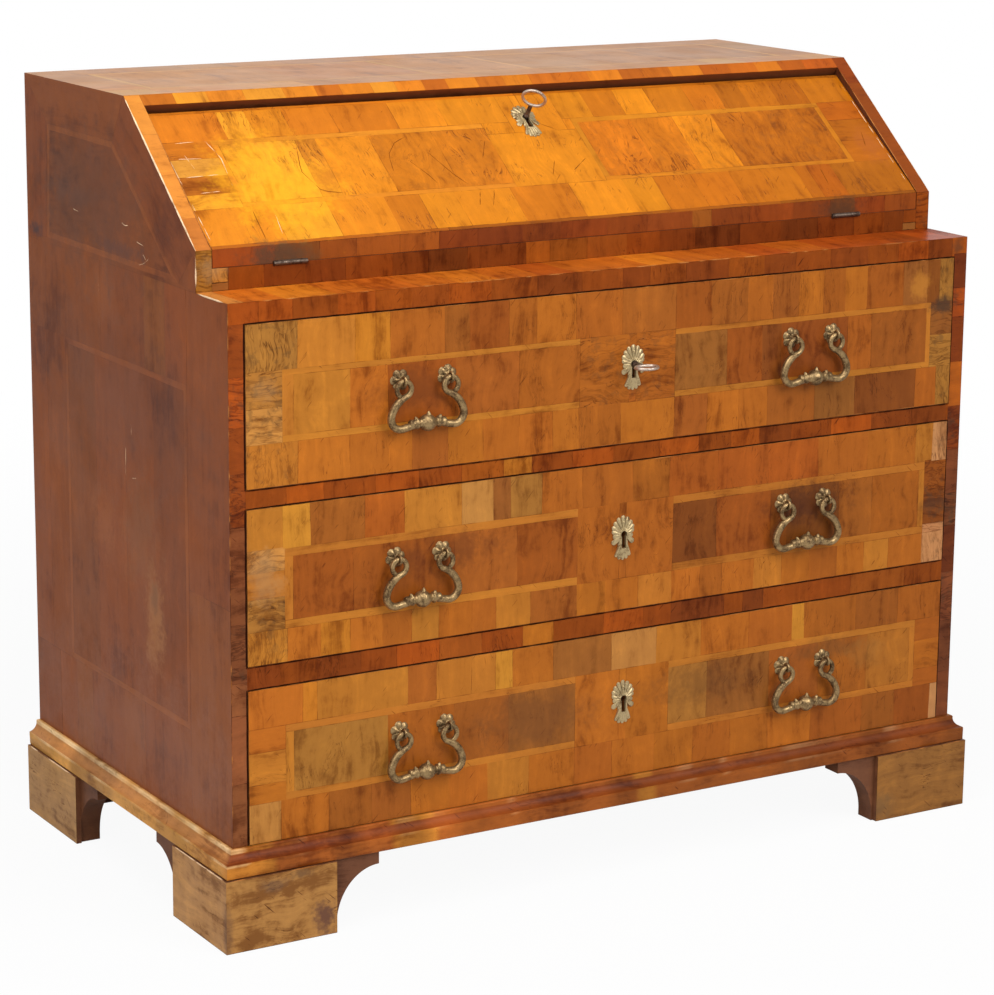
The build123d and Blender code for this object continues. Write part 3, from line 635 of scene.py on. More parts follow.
worn_tan, dirt_brown = (0.40, 0.22, 0.09), (0.06, 0.03, 0.016)
# glow is a painted highlight: a brighter orange laid on places of the side's veneer
burr_tan, glow = (0.38, 0.15, 0.045), (0.34, 0.10, 0.026)
side_x = -half / 1000       # the left side's face, in metres, as stains have it
veneer_front = wood_material("front_veneer", crackle=0.7, shine=0.08, scratches=0.6, glue_line=0.7,
                             clouds=0.8, stains=[
    ((-0.29, -0.27, 0.665), (0.09, 0.1, 0.035), (0.11, 0.028, 0.008), 0.5),
    ((-0.25, -0.27, 0.455), (0.10, 0.1, 0.035), (0.09, 0.022, 0.008), 0.5),
    ((0.29, -0.27, 0.455), (0.09, 0.1, 0.04), (0.05, 0.015, 0.008), 0.6),
    ((0.13, -0.27, 0.23), (0.11, 0.1, 0.035), (0.10, 0.038, 0.012), 0.45),
    ((0.34, -0.27, 0.25), (0.08, 0.1, 0.02), (0.12, 0.05, 0.016), 0.45),
    ((-0.12, -0.27, 0.222), (0.12, 0.1, 0.05), (0.13, 0.046, 0.015), 0.5),
    ((0.40, -0.27, 0.235), (0.05, 0.1, 0.03), (0.32, 0.13, 0.025), 0.4),
    ((-0.50, -0.27, 0.68), (0.028, 0.1, 0.02), worn_tan, 0.3),
    ((-0.50, -0.27, 0.455), (0.032, 0.1, 0.05), worn_tan, 0.45),
    ((0.505, -0.27, 0.70), (0.03, 0.1, 0.016), dirt_brown, 0.85),
    ((0.505, -0.27, 0.43), (0.03, 0.1, 0.016), dirt_brown, 0.5),
    ((0.47, -0.27, 0.73), (0.022, 0.1, 0.03), (0.60, 0.24, 0.03), 0.35)])
veneer_fall = wood_material("fall_veneer", crackle=0.9, contrast=0.95, polish=0.8, shine=0.12,
                            scratches=0.55, glue_line=0.9, clouds=1.0, stains=[
    # The first place, bright yellow at the left of the fall, is a painted highlight.
    ((-0.405, -0.11, 0.90), (0.10, 0.12, 0.10), (0.93, 0.42, 0.01), 0.42),
    ((0.50, -0.12, 0.90), (0.03, 0.06, 0.04), (0.35, 0.09, 0.015), 0.6),
    ((-0.435, -0.186, 0.822), (0.065, 0.03, 0.03), (0.085, 0.042, 0.022), 0.85),
    ((0.40, -0.186, 0.822), (0.05, 0.03, 0.025), (0.055, 0.026, 0.014), 0.7)])
veneer_side = wood_material("side_veneer", crackle=0.2, contrast=0.8, shine=0.12, clouds=1.7,
                            glue_line=0.6, stains=[
    ((side_x, -0.06, 0.355), (0.06, 0.036, 0.09), burr_tan, 0.7),
    ((side_x, -0.06, 0.385), (0.06, 0.013, 0.03), (0.16, 0.06, 0.02), 0.6),
    ((side_x, -0.02, 0.46), (0.06, 0.08, 0.11), (0.25, 0.10, 0.04), 0.35),
    # These two places of glow are painted highlight.
    ((side_x, 0.09, 0.45), (0.06, 0.045, 0.06), glow, 0.5),
    ((side_x, 0.08, 0.74), (0.06, 0.06, 0.05), glow, 0.35),
    ((side_x, 0.02, 0.63), (0.06, 0.09, 0.05), (0.24, 0.07, 0.026), 0.4),
    ((side_x, 0.29, 0.80), (0.06, 0.03, 0.014), (0.05, 0.028, 0.03), 0.8),
    ((side_x, 0.12, 0.86), (0.06, 0.24, 0.13), (0.085, 0.040, 0.026), 0.4),
    ((side_x, 0.02, 0.62), (0.06, 0.45, 0.16), (0.13, 0.05, 0.03), 0.3),
    ((side_x, -0.05, 0.20), (0.06, 0.5, 0.12), (0.30, 0.12, 0.07), 0.3),
    ((side_x, 0.17, 0.86), (0.06, 0.11, 0.02), (0.10, 0.05, 0.035), 0.35),
    ((side_x, 0.03, 0.81), (0.06, 0.10, 0.012), (0.10, 0.04, 0.03), 0.5)])
veneer_top = wood_material("top_veneer", crackle=0.3, contrast=0.8, polish=0.0, coat=0.4, shine=0.4)
veneer_edge = wood_material("edge_veneer", crackle=0.8, contrast=1.2, glue_line=0.8, shine=0.06,
                            scratches=0.8, clouds=0.8, stains=[
    ((-0.525, -0.19, 0.815), (0.028, 0.05, 0.02), worn_tan, 0.5),
    ((0.53, -0.27, 0.775), (0.014, 0.05, 0.015), dirt_brown, 0.6)])
veneer_column = wood_material("column_veneer", crackle=0.8, contrast=1.3, glue_line=1.0, shine=0.1,
                              scratches=0.8, clouds=1.2)
veneer_slant = wood_material("slant_edge_veneer", crackle=0.5, contrast=0.9, glue_line=0.6,
                             shine=0.15, scratches=0.5)
veneer_foot = wood_material("foot_veneer", crackle=1.0, contrast=1.6, polish=0.05, shine=0.15,
                            scratches=1.0, clouds=0.8, stains=[
    ((-0.43, -0.29, 0.02), (0.024, 0.03, 0.035), (0.12, 0.05, 0.03), 0.95),
    ((-0.50, -0.29, 0.078), (0.03, 0.03, 0.012), (0.14, 0.07, 0.035), 0.7),
    ((-0.46, -0.29, 0.085), (0.02, 0.03, 0.008), (0.10, 0.05, 0.025), 0.7),
    ((-0.563, -0.29, 0.03), (0.012, 0.012, 0.06), (0.12, 0.055, 0.03), 0.6),
    ((0.42, -0.29, 0.02), (0.03, 0.03, 0.03), (0.14, 0.075, 0.03), 0.6)])
case_wood = wood_material("case_walnut", "#5a2f1c", along=2)
case_wood_across = wood_material("case_walnut_across", "#6a371d", along=0)
loper_wood = wood_material("loper_walnut", "#8a5424", along=0, shine=0.1)
drawer_edge_wood = wood_material("drawer_front_core", "#7d4c26", along=0, polish=0.3)
deal = wood_material("secondary_deal", "#a98658", along=0, figure=0.15, contrast=0.8, crackle=0.1,
                     polish=0.0, coat=0.0)
deal_deep = wood_material("secondary_deal_deep", "#a07c50", along=1, figure=0.15, contrast=0.8,
                          crackle=0.1, polish=0.0, coat=0.0)
deal_upright = wood_material("back_deal", "#7f6243", along=2, figure=0.2, contrast=0.9,
                             crackle=0.1, polish=0.0, coat=0.0)
plinth_wood = wood_material("worn_plinth_walnut", polish=0.35, crackle=0.6, contrast=1.3,
                            scratches=0.8, shine=0.12, clouds=1.2)
foot_wood = wood_material("dark_foot_walnut", "#68402a", along=0, figure=0.3, contrast=1.2,
                          crackle=0.6, polish=0.1, shine=0.15, clouds=1.0)
# A lighter tan for strips along arrises: wear and a painted highlight.
worn_arris = wood_material("worn_arris", "#a86b36", along=0, figure=0.5, contrast=1.4, crackle=0.2,
                           polish=0.0, shine=0.05)
# A near-white for strips along arrises, which is wear and a painted highlight, and for pale scratches
# and seams.
pale_arris = wood_material("pale_arris", "#e6c6a0", along=0, figure=0.5, contrast=1.2, crackle=0.1,
                           polish=0.2)
crack_wood = wood_material("crack_edges", "#7a4218", along=0, figure=0.2, polish=0.0, shine=0.0)
# Near-black wood: painted shadow in gaps round the drawers and under the fall, and the dark joints
# between the back boards.
gap_wood = wood_material("dirty_gaps", "#2a130c", along=0, figure=0.2, polish=0.0, shine=0.0)
inside_walnut = wood_material("interior_walnut", "#8a5a30", along=0, figure=0.35, contrast=0.9,
                              crackle=0.1)
brass = metal_material("old_brass", "#a0845a", "#503a22", 0.72, 0.78)
shell_brass = metal_material("pale_brass", "#b49e74", "#60482a", 0.55, 0.6)
iron = metal_material("old_iron", "#6a5a4e", "#39291f", 0.8, 0.7)
steel = metal_material("worn_steel", "#bdaa9a", "#6d5644", 0.5, 0.75)


def give(material, *nodes):
    """Puts a material on CAD nodes."""
    for name in nodes:
        mesh = frame["nodes"][name].data
        mesh.materials.clear()
        mesh.materials.append(material)


drawer_numbers = (1, 2, 3)
give(case_wood, "side_left", "side_right")
give(case_wood_across, "top_board", "ledge_board", "desk_board", "rail_upper", "rail_lower",
     "fall_stop_rail", "fall_board")
give(loper_wood, "loper_left", "loper_right")
give(drawer_edge_wood, *[f"drawer_{n}_front" for n in drawer_numbers])
give(deal, "bottom_board", "dust_boards", *[f"drawer_{n}_bottom" for n in drawer_numbers])
give(deal_deep, "drawer_runners", *[f"drawer_{n}_box" for n in drawer_numbers])
give(deal_upright, "back_boards")
give(foot_wood, "foot_front_left", "foot_front_right", "foot_back_left", "foot_back_right")
give(inside_walnut, "pigeonhole_case", *[f"small_drawer_{n}" for n in (1, 2, 3, 4)])
give(iron, "hinge_carcass_leaves", "hinge_fall_leaves", "hinge_pins", "fall_lock", "fall_bolt",
     "drawer_1_bolt", *[f"drawer_{n}_lock" for n in drawer_numbers])


# ---------------------------------------------------------------- veneers of the long drawers

keyholes = {1: joint_place("drawer_1_key_turn")[[0, 2]], 2: np.array([5.5, 447.7]),
            3: np.array([9.5, 231.0])}
hole_half, hole_up, hole_down = 5.2, 5.2, 18.8      # left free round a keyhole


def round_the_keyhole(left, right, bottom, top, key, wood, figure, grain="up"):
    """Four veneers that leave a rectangle free round a keyhole, under its escutcheon."""
    x, z = key
    sheets = [((left, bottom), (x - hole_half, top)), ((x + hole_half, bottom), (right, top)),
              ((x - hole_half, z + hole_up), (x + hole_half, top)),
              ((x - hole_half, bottom), (x + hole_half, z - hole_down))]
    return [([(a[0], a[1]), (b[0], a[1]), (b[0], b[1]), (a[0], b[1])], wood, grain, figure)
            for a, b in sheets]


# Each cut is a wood and the x or z where its veneer ends. lines are the edges of the stringing
# under and over the panels; panel is their ends, left and right of the middle square.
drawer_layout = {
    1: dict(
        band="K-455 c-378 a-330 e-255 f-220 g-165 e-125 d-68 e0 f80 g135 f190 e230 f270 d310 e345"
             " d380 e440 m480 i500 K522.6",
        foot="C-455 d-385 d-332 d-300 f-250 d-200 e-150 d-100 d-62 e0 d80 f130 d180 d225 f300 m365"
             " i465 e500 K522.6",
        left_end="L660 K704", right_end="K660 M700 I704",
        left="c-385 d-332 g-240 f-150 e-62", right="m160 g215 i245 h350 e390 f480",
        lines=(617, 625, 697, 704), panel=(-460, -62, 80, 480), left_line=-475, right_line=487,
        band_low=704, foot_high=617, middle="e"),
    2: dict(
        band="c-475 b-438 f-365 r-310 c-230 l-185 m-160 k-115 e-55 e20 e75 r150 r230 r310 e390 d470"
             " c498 P522.6",
        foot="C-470 d-425 a-385 d-340 e-300 c-262 d-215 e-180 c-130 f-62 d-20 d30 c82 d125 e160"
             " d210 c255 d300 e345 d390 c430 d487 P522.6",
        left_end="K430 c462 L490", right_end="P402 H450 G490",
        left="g-380 g-240 f-150 g-62", right="j150 g235 h262 j345 f400 e478",
        lines=(390, 400, 478, 488), panel=(-462, -62, 82, 478), left_line=-473, right_line=487,
        band_low=488, foot_high=390, middle="e"),
    3: dict(
        band="d-450 a-430 c-305 f-265 c-215 c-180 b-155 d-95 m-8 l60 c130 d205 e275 b295 e380 f450"
             " e522.6",
        foot="l-480 d-415 f-355 f-300 d-245 d-190 c-130 d-62 e-5 d60 d120 e180 d240 d310 e395 f450"
             " g510 p522.6",
        left_end="d200 c240 d270", right_end="e200 d240 e270",
        left="k-332 e-240 f-160 m-62", right="k140 m240 f320 e400 c472",
        lines=(176, 185, 261, 270), panel=(-462, -62, 80, 472), left_line=-473, right_line=481,
        band_low=270, foot_high=176, middle="d")}

stringing_figure = 0.05


def stringing(bottom, top, start, end, grain="across"):
    """One light line of stringing."""
    return laid_between(bottom, top, start, [("s", end)], grain, stringing_figure)


def drawer_veneers(n):
    """Veneers of one drawer front, as laid: top band, foot band, ends, two framed panels and a
    middle square round the lock, with light stringing between them."""
    plan = drawer_layout[n]
    bottom, top = low(f"drawer_{n}_front")[2], high(f"drawer_{n}_front")[2]
    end = high(f"drawer_{n}_front")[0]
    foot_line, foot_panel, top_panel, top_line = plan["lines"]
    left_in, left_out, right_in, right_out = plan["panel"]
    left_line, right_line = plan["left_line"], plan["right_line"]
    band_low, foot_high = plan["band_low"], plan["foot_high"]
    sheets = laid_between(band_low, top, -end, plan["band"], figure=0.45)
    sheets += laid_between(bottom, foot_high, -end, plan["foot"], figure=0.4)
    sheets += stacked(-end, left_line, foot_high, plan["left_end"])
    sheets += stacked(right_line, end, foot_high, plan["right_end"])
    sheets += laid_between(foot_panel, top_panel, left_in, plan["left"], figure=0.85)
    sheets += laid_between(foot_panel, top_panel, right_in, plan["right"], figure=0.85)
    for low_z, high_z in ((foot_line, foot_panel), (top_panel, top_line)):
        sheets += stringing(low_z, high_z, left_line, left_out)
        sheets += stringing(low_z, high_z, right_in, right_line)
    sheets += stringing(foot_panel, top_panel, left_line, left_in, "up")
    sheets += stringing(foot_panel, top_panel, right_out, right_line, "up")
    sheets += round_the_keyhole(left_out, right_in, foot_line, top_line, keyholes[n],
                                plan["middle"], 1.35 if n == 1 else 0.9,
                                "across" if n == 1 else "up")
    face = Board((0, drawer_face, 0), X, Z)
    # The last tint, for the right end, is darker: painted shade.
    return veneer(f"drawer_{n}_veneer", f"drawer_{n}", veneer_front,
                  [(face, sheets)], (0.86, 0.85, 0.74), 0.3, "d", (0.70, 0.67, 0.58))


for n in drawer_numbers:
    drawer_veneers(n)


# ---------------------------------------------------------------- veneers of the fall

fall_edge = high("fall_board")[0]
fall_face = Board(fall_foot, X, fall_up)
border_low, border_high = (5, 65), (180, 228)       # borders under and over the panels
panel_low, panel_high = 72, 172
left_frame, right_frame = (-455, -447, -72), (62, 70, 450, 458)
fall_lines = ((border_low[1], panel_low), (panel_high, border_high[0]))
fall_key_place = (fall_keyhole[0], key_on_fall)
lock_low, lock_left, lock_right = 160, -30, 50      # veneers of their own round the keyhole

fall_sheets = laid_between(*border_high, -fall_edge,
    "d-430 b-390 a-340 d-275 d-190 a-120 a-30 d50 a100 d150 a200 d260 d310 e350 d400 e450 d522.7",
    figure=0.35)
fall_sheets += laid_between(*border_low, -fall_edge,
    "a-447 a-420 b-345 a-265 d-215 a-165 a-85 d3 a85 a130 d190 d250 d300 d355 e375 r415 e522.7",
    figure=0.35)
fall_sheets += laid_between(border_high[1], fall_length, -fall_edge, "e-300 d0 e300 f522.7", "across")
fall_sheets += laid_between(0, border_low[0], -fall_edge, "g-200 h100 g300 h522.7", "across")
fall_sheets += stacked(-fall_edge, left_frame[0], border_low[1], "b90 f120 l150 e180")
fall_sheets += stacked(right_frame[3], fall_edge, border_low[1], "e105 e145 r180")
fall_sheets += laid_between(panel_low, panel_high, left_frame[1], "b-345 c-315 a-240 d-150 d-72",
                            figure=1.15)
fall_sheets += laid_between(panel_low, panel_high, right_frame[1], "d150 d215 a280 e365 e450",
                            figure=1.2)
for line_low, line_high in fall_lines:
    fall_sheets += stringing(line_low, line_high, left_frame[0], left_frame[2])
    fall_sheets += stringing(line_low, line_high, right_frame[0], right_frame[3])
for start, end in (left_frame[:2], right_frame[:2], right_frame[2:]):
    fall_sheets += stringing(panel_low, panel_high, start, end, "up")
fall_sheets += laid_between(border_low[1], lock_low, left_frame[2], [("a", right_frame[0])], "up", 0.7)
# the border's veneer over the keyhole makes room for the four round it
fall_sheets = [sheet for sheet in fall_sheets
               if not (sheet[0][0][1] == border_high[0]
                       and sheet[0][0][0] < fall_key_place[0] < sheet[0][1][0])]
fall_sheets += round_the_keyhole(lock_left, lock_right, lock_low, border_high[1], fall_key_place,
                                 "a", 0.5)
for start, end in ((left_frame[2], lock_left), (lock_right, right_frame[0])):
    fall_sheets += laid_between(lock_low, border_high[0], start, [("a", end)], "up", 0.6)

fall_lip = Board((0, desk_front, 0), X, Z)
lip_low = low("fall_board")[2] + 0.1
lip_sheets = laid_between(lip_low, slant_bottom, -fall_edge,
    "r-440 m-380 e-330 d-270 d-215 g-160 h-95 g-40 g30 g90 f160 c190 g250 r320 g380 m420 r470 e522.7",
    figure=0.5)
# The last tints, for the right end, are darker: painted shade.
veneer("fall_veneer", "fall", veneer_fall, [(fall_face, fall_sheets)],
       (0.99, 0.90, 0.49), 0.24, "a", (0.80, 0.71, 0.20))
veneer("fall_lip_veneer", "fall", veneer_fall, [(fall_lip, lip_sheets)],
       (0.78, 0.66, 0.50), 0.35, "g", (0.66, 0.54, 0.40))


# ---------------------------------------------------------------- veneers of the case

def random_cuts(start, end, shortest, longest, letters):
    """A row of veneers with lengths and woods drawn at random between two limits."""
    cuts, place = [], start
    while place < end:
        place = min(end, place + rng.uniform(shortest, longest))
        if end - place < shortest:
            place = end
        cuts.append((letters[rng.integers(len(letters))], place))
    return cuts


front_face = Board((0, front, 0), X, Z)
desk_face = Board((0, desk_front, 0), X, Z)
loper_top = ledge_top + 10.4        # the desk strip stands over the lopers' ends beside it
desk_strip_top = desk_top - 0.2
desk_end = 502.5
front_sheets = laid_between(ledge_bottom, ledge_top, -half,
    "r-505 r-460 g-400 r-350 r-300 g-250 r-190 g-125 h-60 g0 h40 g95 h160 g215 h265 g320 h380 g430"
    " r480 h520 r544.5", figure=0.5)
front_sheets += laid_between(low("rail_upper")[2], high("rail_upper")[2], -inner,
    "g-470 r-420 g-350 r-290 g-230 e-170 c-130 g-70 r-10 g60 r120 g170 r215 h265 g330 r395 h460"
    " h520 g523.5", figure=0.5)
front_sheets += laid_between(low("rail_lower")[2], high("rail_lower")[2], -inner,
    "h-480 g-430 h-370 g-320 r-260 f-200 g-140 c-95 g-20 r40 g82 i165 g195 i228 g300 g370 f460"
    " g523.5", figure=0.5)
column_sheets = stacked(-half, -inner, plinth_high,
                        "u205 u290 u330 V402 v448 t520 G585 g640 R700 g766")
column_sheets += stacked(inner, half, plinth_high,
                         "t190 v262 T330 i395 V440 t500 G560 d620 g680 R720 h766")
desk_sheets = laid_between(loper_top, desk_strip_top, -inner, [("L", -desk_end)], figure=0.5)
desk_sheets += laid_between(ledge_top, desk_strip_top, 0.5 - desk_end,
    "g-455 h-400 h-345 g-280 h-230 j-175 h-90 e-55 f0 f60 g110 h165 j235 h300 j360 h420 g470 h502",
    figure=0.5)
desk_sheets += laid_between(loper_top, desk_strip_top, desk_end, [("g", inner)], figure=0.5)
for side, wood in ((-1, "K"), (1, "R")):
    a, b = sorted((side * inner, side * half))
    desk_sheets += stacked(a, b, ledge_top, [(wood, slant_bottom)])

ledge_face = Board((0, 0, ledge_top), X, Y)
ledge_sheets = laid_between(front, desk_front, -half,
    "l-523 d-470 a-400 d-345 d-290 d-235 a-180 d-120 r-70 d-10 d40 a95 d150 d205 r260 d320 r375 r430"
    " g480 r523 g544.5", figure=0.6)

slant_face = Board((0, desk_front, slant_bottom), X, slant_up)
side_edges = []
for side, letters in ((-1, "aabd"), (1, "ree")):
    a, b = sorted((side * inner, side * half))
    side_edges += stacked(a, b, 0.0, random_cuts(0.0, slant_length, 45, 85, letters))
slant_sheets = laid_between(slant_length - top_band, slant_length, -inner,
    "d-480 b-435 a-385 b-330 a-285 d-250 a-205 b-170 a-130 e-95 a-50 d-10 a30 d80 d120 a170 e205"
    " d250 a300 e345 d390 a430 e470 r523.5", figure=0.4)

top_face = Board((0, 0, case_top), X, Y)
top_front = desk_front + slant_run
band_deep, band_wide, top_string = 58, 62, 8      # cross-banding of the top, and its stringing
band_front, band_back, band_end = top_front + band_deep, back - band_deep, half - band_wide
field_front, field_back = band_front + top_string, band_back - top_string
middle_half = 80                            # half of the top's middle field, stringing included
top_sheets = laid_between(top_front, band_front, -half, random_cuts(-half, half, 45, 80, "edfec"))
top_sheets += laid_between(band_back, back, -half, random_cuts(-half, half, 50, 90, "fegf"))
for start, letters in ((-half, "fee"), (band_end, "fge")):
    top_sheets += stacked(start, start + band_wide, band_front,
                          random_cuts(band_front, band_back, 45, 75, letters))
for y_low, y_high in ((band_front, field_front), (field_back, band_back)):
    top_sheets += stringing(y_low, y_high, -band_end, band_end)
for x_low in (-band_end, -middle_half, middle_half - top_string, band_end - top_string):
    top_sheets += stringing(field_front, field_back, x_low, x_low + top_string, "up")
for x_low, x_high, letters in ((top_string - band_end, -middle_half, "gfe"),
                               (top_string - middle_half, middle_half - top_string, "e"),
                               (middle_half, band_end - top_string, "fgf")):
    top_sheets += laid_between(field_front, field_back, x_low,
                               random_cuts(x_low, x_high, 75, 130, letters), figure=0.85)

# Where a last tint is given for the right end, it is darker: painted shade.
veneer("front_edge_veneer", "case", veneer_edge,
       [(front_face, front_sheets), (desk_face, desk_sheets)],
       (0.86, 0.77, 0.50), 0.25, "g", (0.76, 0.66, 0.42))
veneer("column_veneer", "case", veneer_column, [(front_face, column_sheets)],
       (0.82, 0.68, 0.48), right=(0.6, 0.46, 0.32))
veneer("ledge_veneer", "case", veneer_edge, [(ledge_face, ledge_sheets)],
       (1.05, 0.88, 0.6), 0.3, "r", (0.86, 0.64, 0.4))
veneer("slant_edge_veneer", "case", veneer_slant, [(slant_face, side_edges)],
       (0.94, 0.93, 1.3), 0.1, "a", (0.52, 0.38, 0.24))
veneer("slant_band_veneer", "case", veneer_slant, [(slant_face, slant_sheets)],
       (0.95, 0.85, 0.55), 0.25, "d", (0.9, 0.72, 0.4))
# The top's strong grey-pink tint is a painted sheen: the pale reflection of the backdrop at a grazing
# angle.
veneer("top_veneer", "case", veneer_top, [(top_face, top_sheets)],
       (1.07, 1.55, 2.25), 0.6, "e")


# ---------------------------------------------------------------- veneers of the sides

# On a side, a place is (distance towards the front from the middle of the frame, height)
rect_left, rect_right, rect_low, rect_high = -203.0, 158.0, 243.0, 672.0
trapezoid = [(-255.5, 794.0), (140.4, 792.0), (-44.6, 940.5), (-246.9, 942.0)]
side_string = 8.0
front_strip = 160.0                 # the smoother boards in front begin here
side_tint = (0.95, 0.69, 0.30)


def inset(corners, width):
    """The same convex outline moved inwards by a width: each side shifts, and sides meet again."""
    corners = np.array(corners, float)
    ahead = np.roll(corners, -1, 0) - corners
    ahead /= np.linalg.norm(ahead, axis=1, keepdims=True)
    area = np.sum(corners[:, 0] * np.roll(corners[:, 1], -1)
                  - corners[:, 1] * np.roll(corners[:, 0], -1))
    inward = np.stack([-ahead[:, 1], ahead[:, 0]], 1) * np.sign(area)
    before = np.roll(inward, 1, 0)
    return corners + width * (inward + before) / (1 + np.sum(inward * before, 1))[:, None]


def frame_of(corners, width, wood):
    """Stringing along each side of an outline, mitred at its corners."""
    near = inset(corners, width)
    sheets = []
    for i in range(len(near)):
        j = (i + 1) % len(near)
        ahead = np.array(corners[j], float) - corners[i]
        turn = float(np.arctan2(ahead[1], ahead[0]))
        sheets.append(([corners[i], corners[j], tuple(near[j]), tuple(near[i])], wood, turn,
                       stringing_figure))
    return sheets, [tuple(point) for point in near]


def side_layout():
    """Veneers of a side: rectangle and trapezoid framed by stringing, with plain boards round
    them. Quadrilaterals run round the corners so that nothing lies over anything else."""
    far, near, shoulder = -back, -front, -desk_front
    top_end = shoulder - slant_run
    upright, sloping = pi / 2, 2.45         # ways the grain runs
    rectangle = [(rect_left, rect_low), (rect_right, rect_low), (rect_right, rect_high),
                 (rect_left, rect_high)]
    sheets, inside = frame_of(rectangle, side_string, "w")
    (x_far, z_low), (x_near, z_high) = inside[0], inside[2]
    sheets += laid_between(z_low, z_high, x_far,
                           [("v", -110.0), ("t", -20.0), ("t", 60.0), ("v", x_near)], figure=0.7)
    lines, (low_far, low_near, high_near, high_far) = frame_of(trapezoid, side_string, "w")
    sheets += lines
    cut = 0.45                              # the trapezoid's two veneers meet at this share
    low_cut, high_cut = [tuple(np.array(a) * (1 - cut) + np.array(b) * cut)
                         for a, b in ((low_far, low_near), (high_far, high_near))]
    sheets.append(([low_far, low_cut, high_cut, high_far], "v", 0.05, 0.8))
    sheets.append(([low_cut, low_near, high_near, high_cut], "v", 0.0, 0.8))

    low_far, low_near, high_near, high_far = trapezoid
    back_low, back_top = (far, ledge_top), (far, case_top)
    step_low, step_high = (shoulder, ledge_top), (shoulder, slant_bottom)
    step_in, slant_top = (shoulder - 1, slant_bottom), (top_end, case_top)
    for corners, grain, figure in (([back_low, step_low, low_near, low_far], 0.0, 0.4),
                                   ([back_low, low_far, high_far, back_top], upright, 0.4),
                                   ([high_far, high_near, slant_top, back_top], 0.0, 0.4),
                                   ([low_near, step_low, step_high, step_in], upright, 0.4),
                                   ([low_near, step_in, slant_top, high_near], sloping, 0.5)):
        sheets.append((corners, "t", grain, figure))
    start = far
    for wood, end in (("t", -90.0), ("t", 40.0), ("u", 100.0), ("t", front_strip)):
        sheets.append(([(start, rect_high), (end, rect_high), (end, ledge_top), (start, ledge_top)],
                       wood, upright, 0.4))
        start = end
    sheets += laid_between(rect_low, rect_high, far, [("t", -262.0), ("t", rect_left)])
    sheets += laid_between(rect_low, rect_high, rect_right, [("t", front_strip)])
    sheets += laid_between(plinth_high, rect_low, far,
                           cut_list("t-240 t-185 u-135 t-40 u25 t80 t128") + [("u", front_strip)])
    sheets += stacked(front_strip, near, plinth_high, [("u", 420.0), ("t", ledge_top)], "up", 0.3)
    return sheets


def mirrored(sheets):
    """The same veneers seen from the other side."""
    turned_over = []
    for corners, wood, grain, figure in sheets:
        a, b, c, d = [(-p[0], p[1]) for p in corners]
        turned_over.append(([b, a, d, c], wood, pi - grain_turn.get(grain, grain), figure))
    return turned_over


side_sheets = side_layout()
veneer("side_left_veneer", "case", veneer_side,
       [(Board((-half, 0, 0), -Y, Z), side_sheets)], side_tint, 0.2, "t")
veneer("side_right_veneer", "case", veneer_side,
       [(Board((half, 0, 0), Y, Z), mirrored(side_sheets))], side_tint, 0.2, "t")


# ---------------------------------------------------------------- facings of the feet

foot_out = 18.5                             # the feet stand this far out of the case
front_block, back_block = 150.0, 160.0      # lengths of their facings
facing_low, facing_high = 0.6, plinth_low - 0.3
foot_x, foot_y = half + foot_out, front - foot_out
front_facings, side_facings = [], []
for side in (-1, 1):
    for y_low, y_high in ((foot_y, foot_y + front_block), (back - back_block, back)):
        a, b = sorted((side * y_low, side * y_high))
        side_facings.append((Board((side * foot_x, 0, 0), side * Y, Z), laid_between(
            facing_low, facing_high, a, [("x", b)], "across", 0.35)))
    a, b = sorted((side * foot_x, side * (foot_x - front_block)))
    front_facings.append((Board((0, foot_y, 0), X, Z), laid_between(
        facing_low, facing_high, a, [("y", b)], "across", 0.55)))
# The right foot's facing is darker by its tint: painted shade.
veneer("front_foot_facings", "case", veneer_foot, front_facings,
       (0.72, 0.78, 0.72), right=(0.42, 0.40, 0.28))
veneer("side_foot_facings", "case", veneer_foot, side_facings, (0.75, 0.80, 0.84))


# ---------------------------------------------------------------- plinth moulding

overhang, fascia, fillet_out, fillet_height, cove_radius = 16.0, 18.0, 5.5, 4.5, 13.0
hollow_start, hollow_points = 5, 12         # where the hollow lies in the profile's points
golden_places = ((-530, 34), (-305, 32), (40, 14))      # x and half length of paler front pieces


def moulding_profile():
    """Outline of the moulding as (out of the case, height): a fascia with eased arrises, a hollow
    drawn as part of a circle through its two ends, and a small fillet."""
    ease = 1.4
    worn_from = plinth_low + fascia - ease - 2.4    # wear reaches this far down the fascia
    start = np.array([overhang, plinth_low + fascia])
    end = np.array([fillet_out, plinth_high - fillet_height])
    chord = end - start
    span = np.linalg.norm(chord)
    middle = (start + end) / 2
    across = np.array([chord[1], -chord[0]]) / span
    centre = middle + across * (cove_radius ** 2 - (span / 2) ** 2) ** 0.5
    first = np.arctan2(*(start - centre)[::-1])
    last = np.arctan2(*(end - centre)[::-1])
    sweep = (last - first + pi) % (2 * pi) - pi
    turn = first + sweep * np.linspace(0, 1, hollow_points)
    hollow = centre + cove_radius * np.stack([np.cos(turn), np.sin(turn)], 1)
    return np.concatenate([
        [(0.0, plinth_low + 0.2), (overhang - ease, plinth_low + 0.2), (overhang, plinth_low + ease)],
        [(overhang, worn_from), (overhang, plinth_low + fascia - ease)], hollow,
        [(fillet_out, plinth_high - 1.0), (fillet_out - 1.0, plinth_high), (0.0, plinth_high)]])


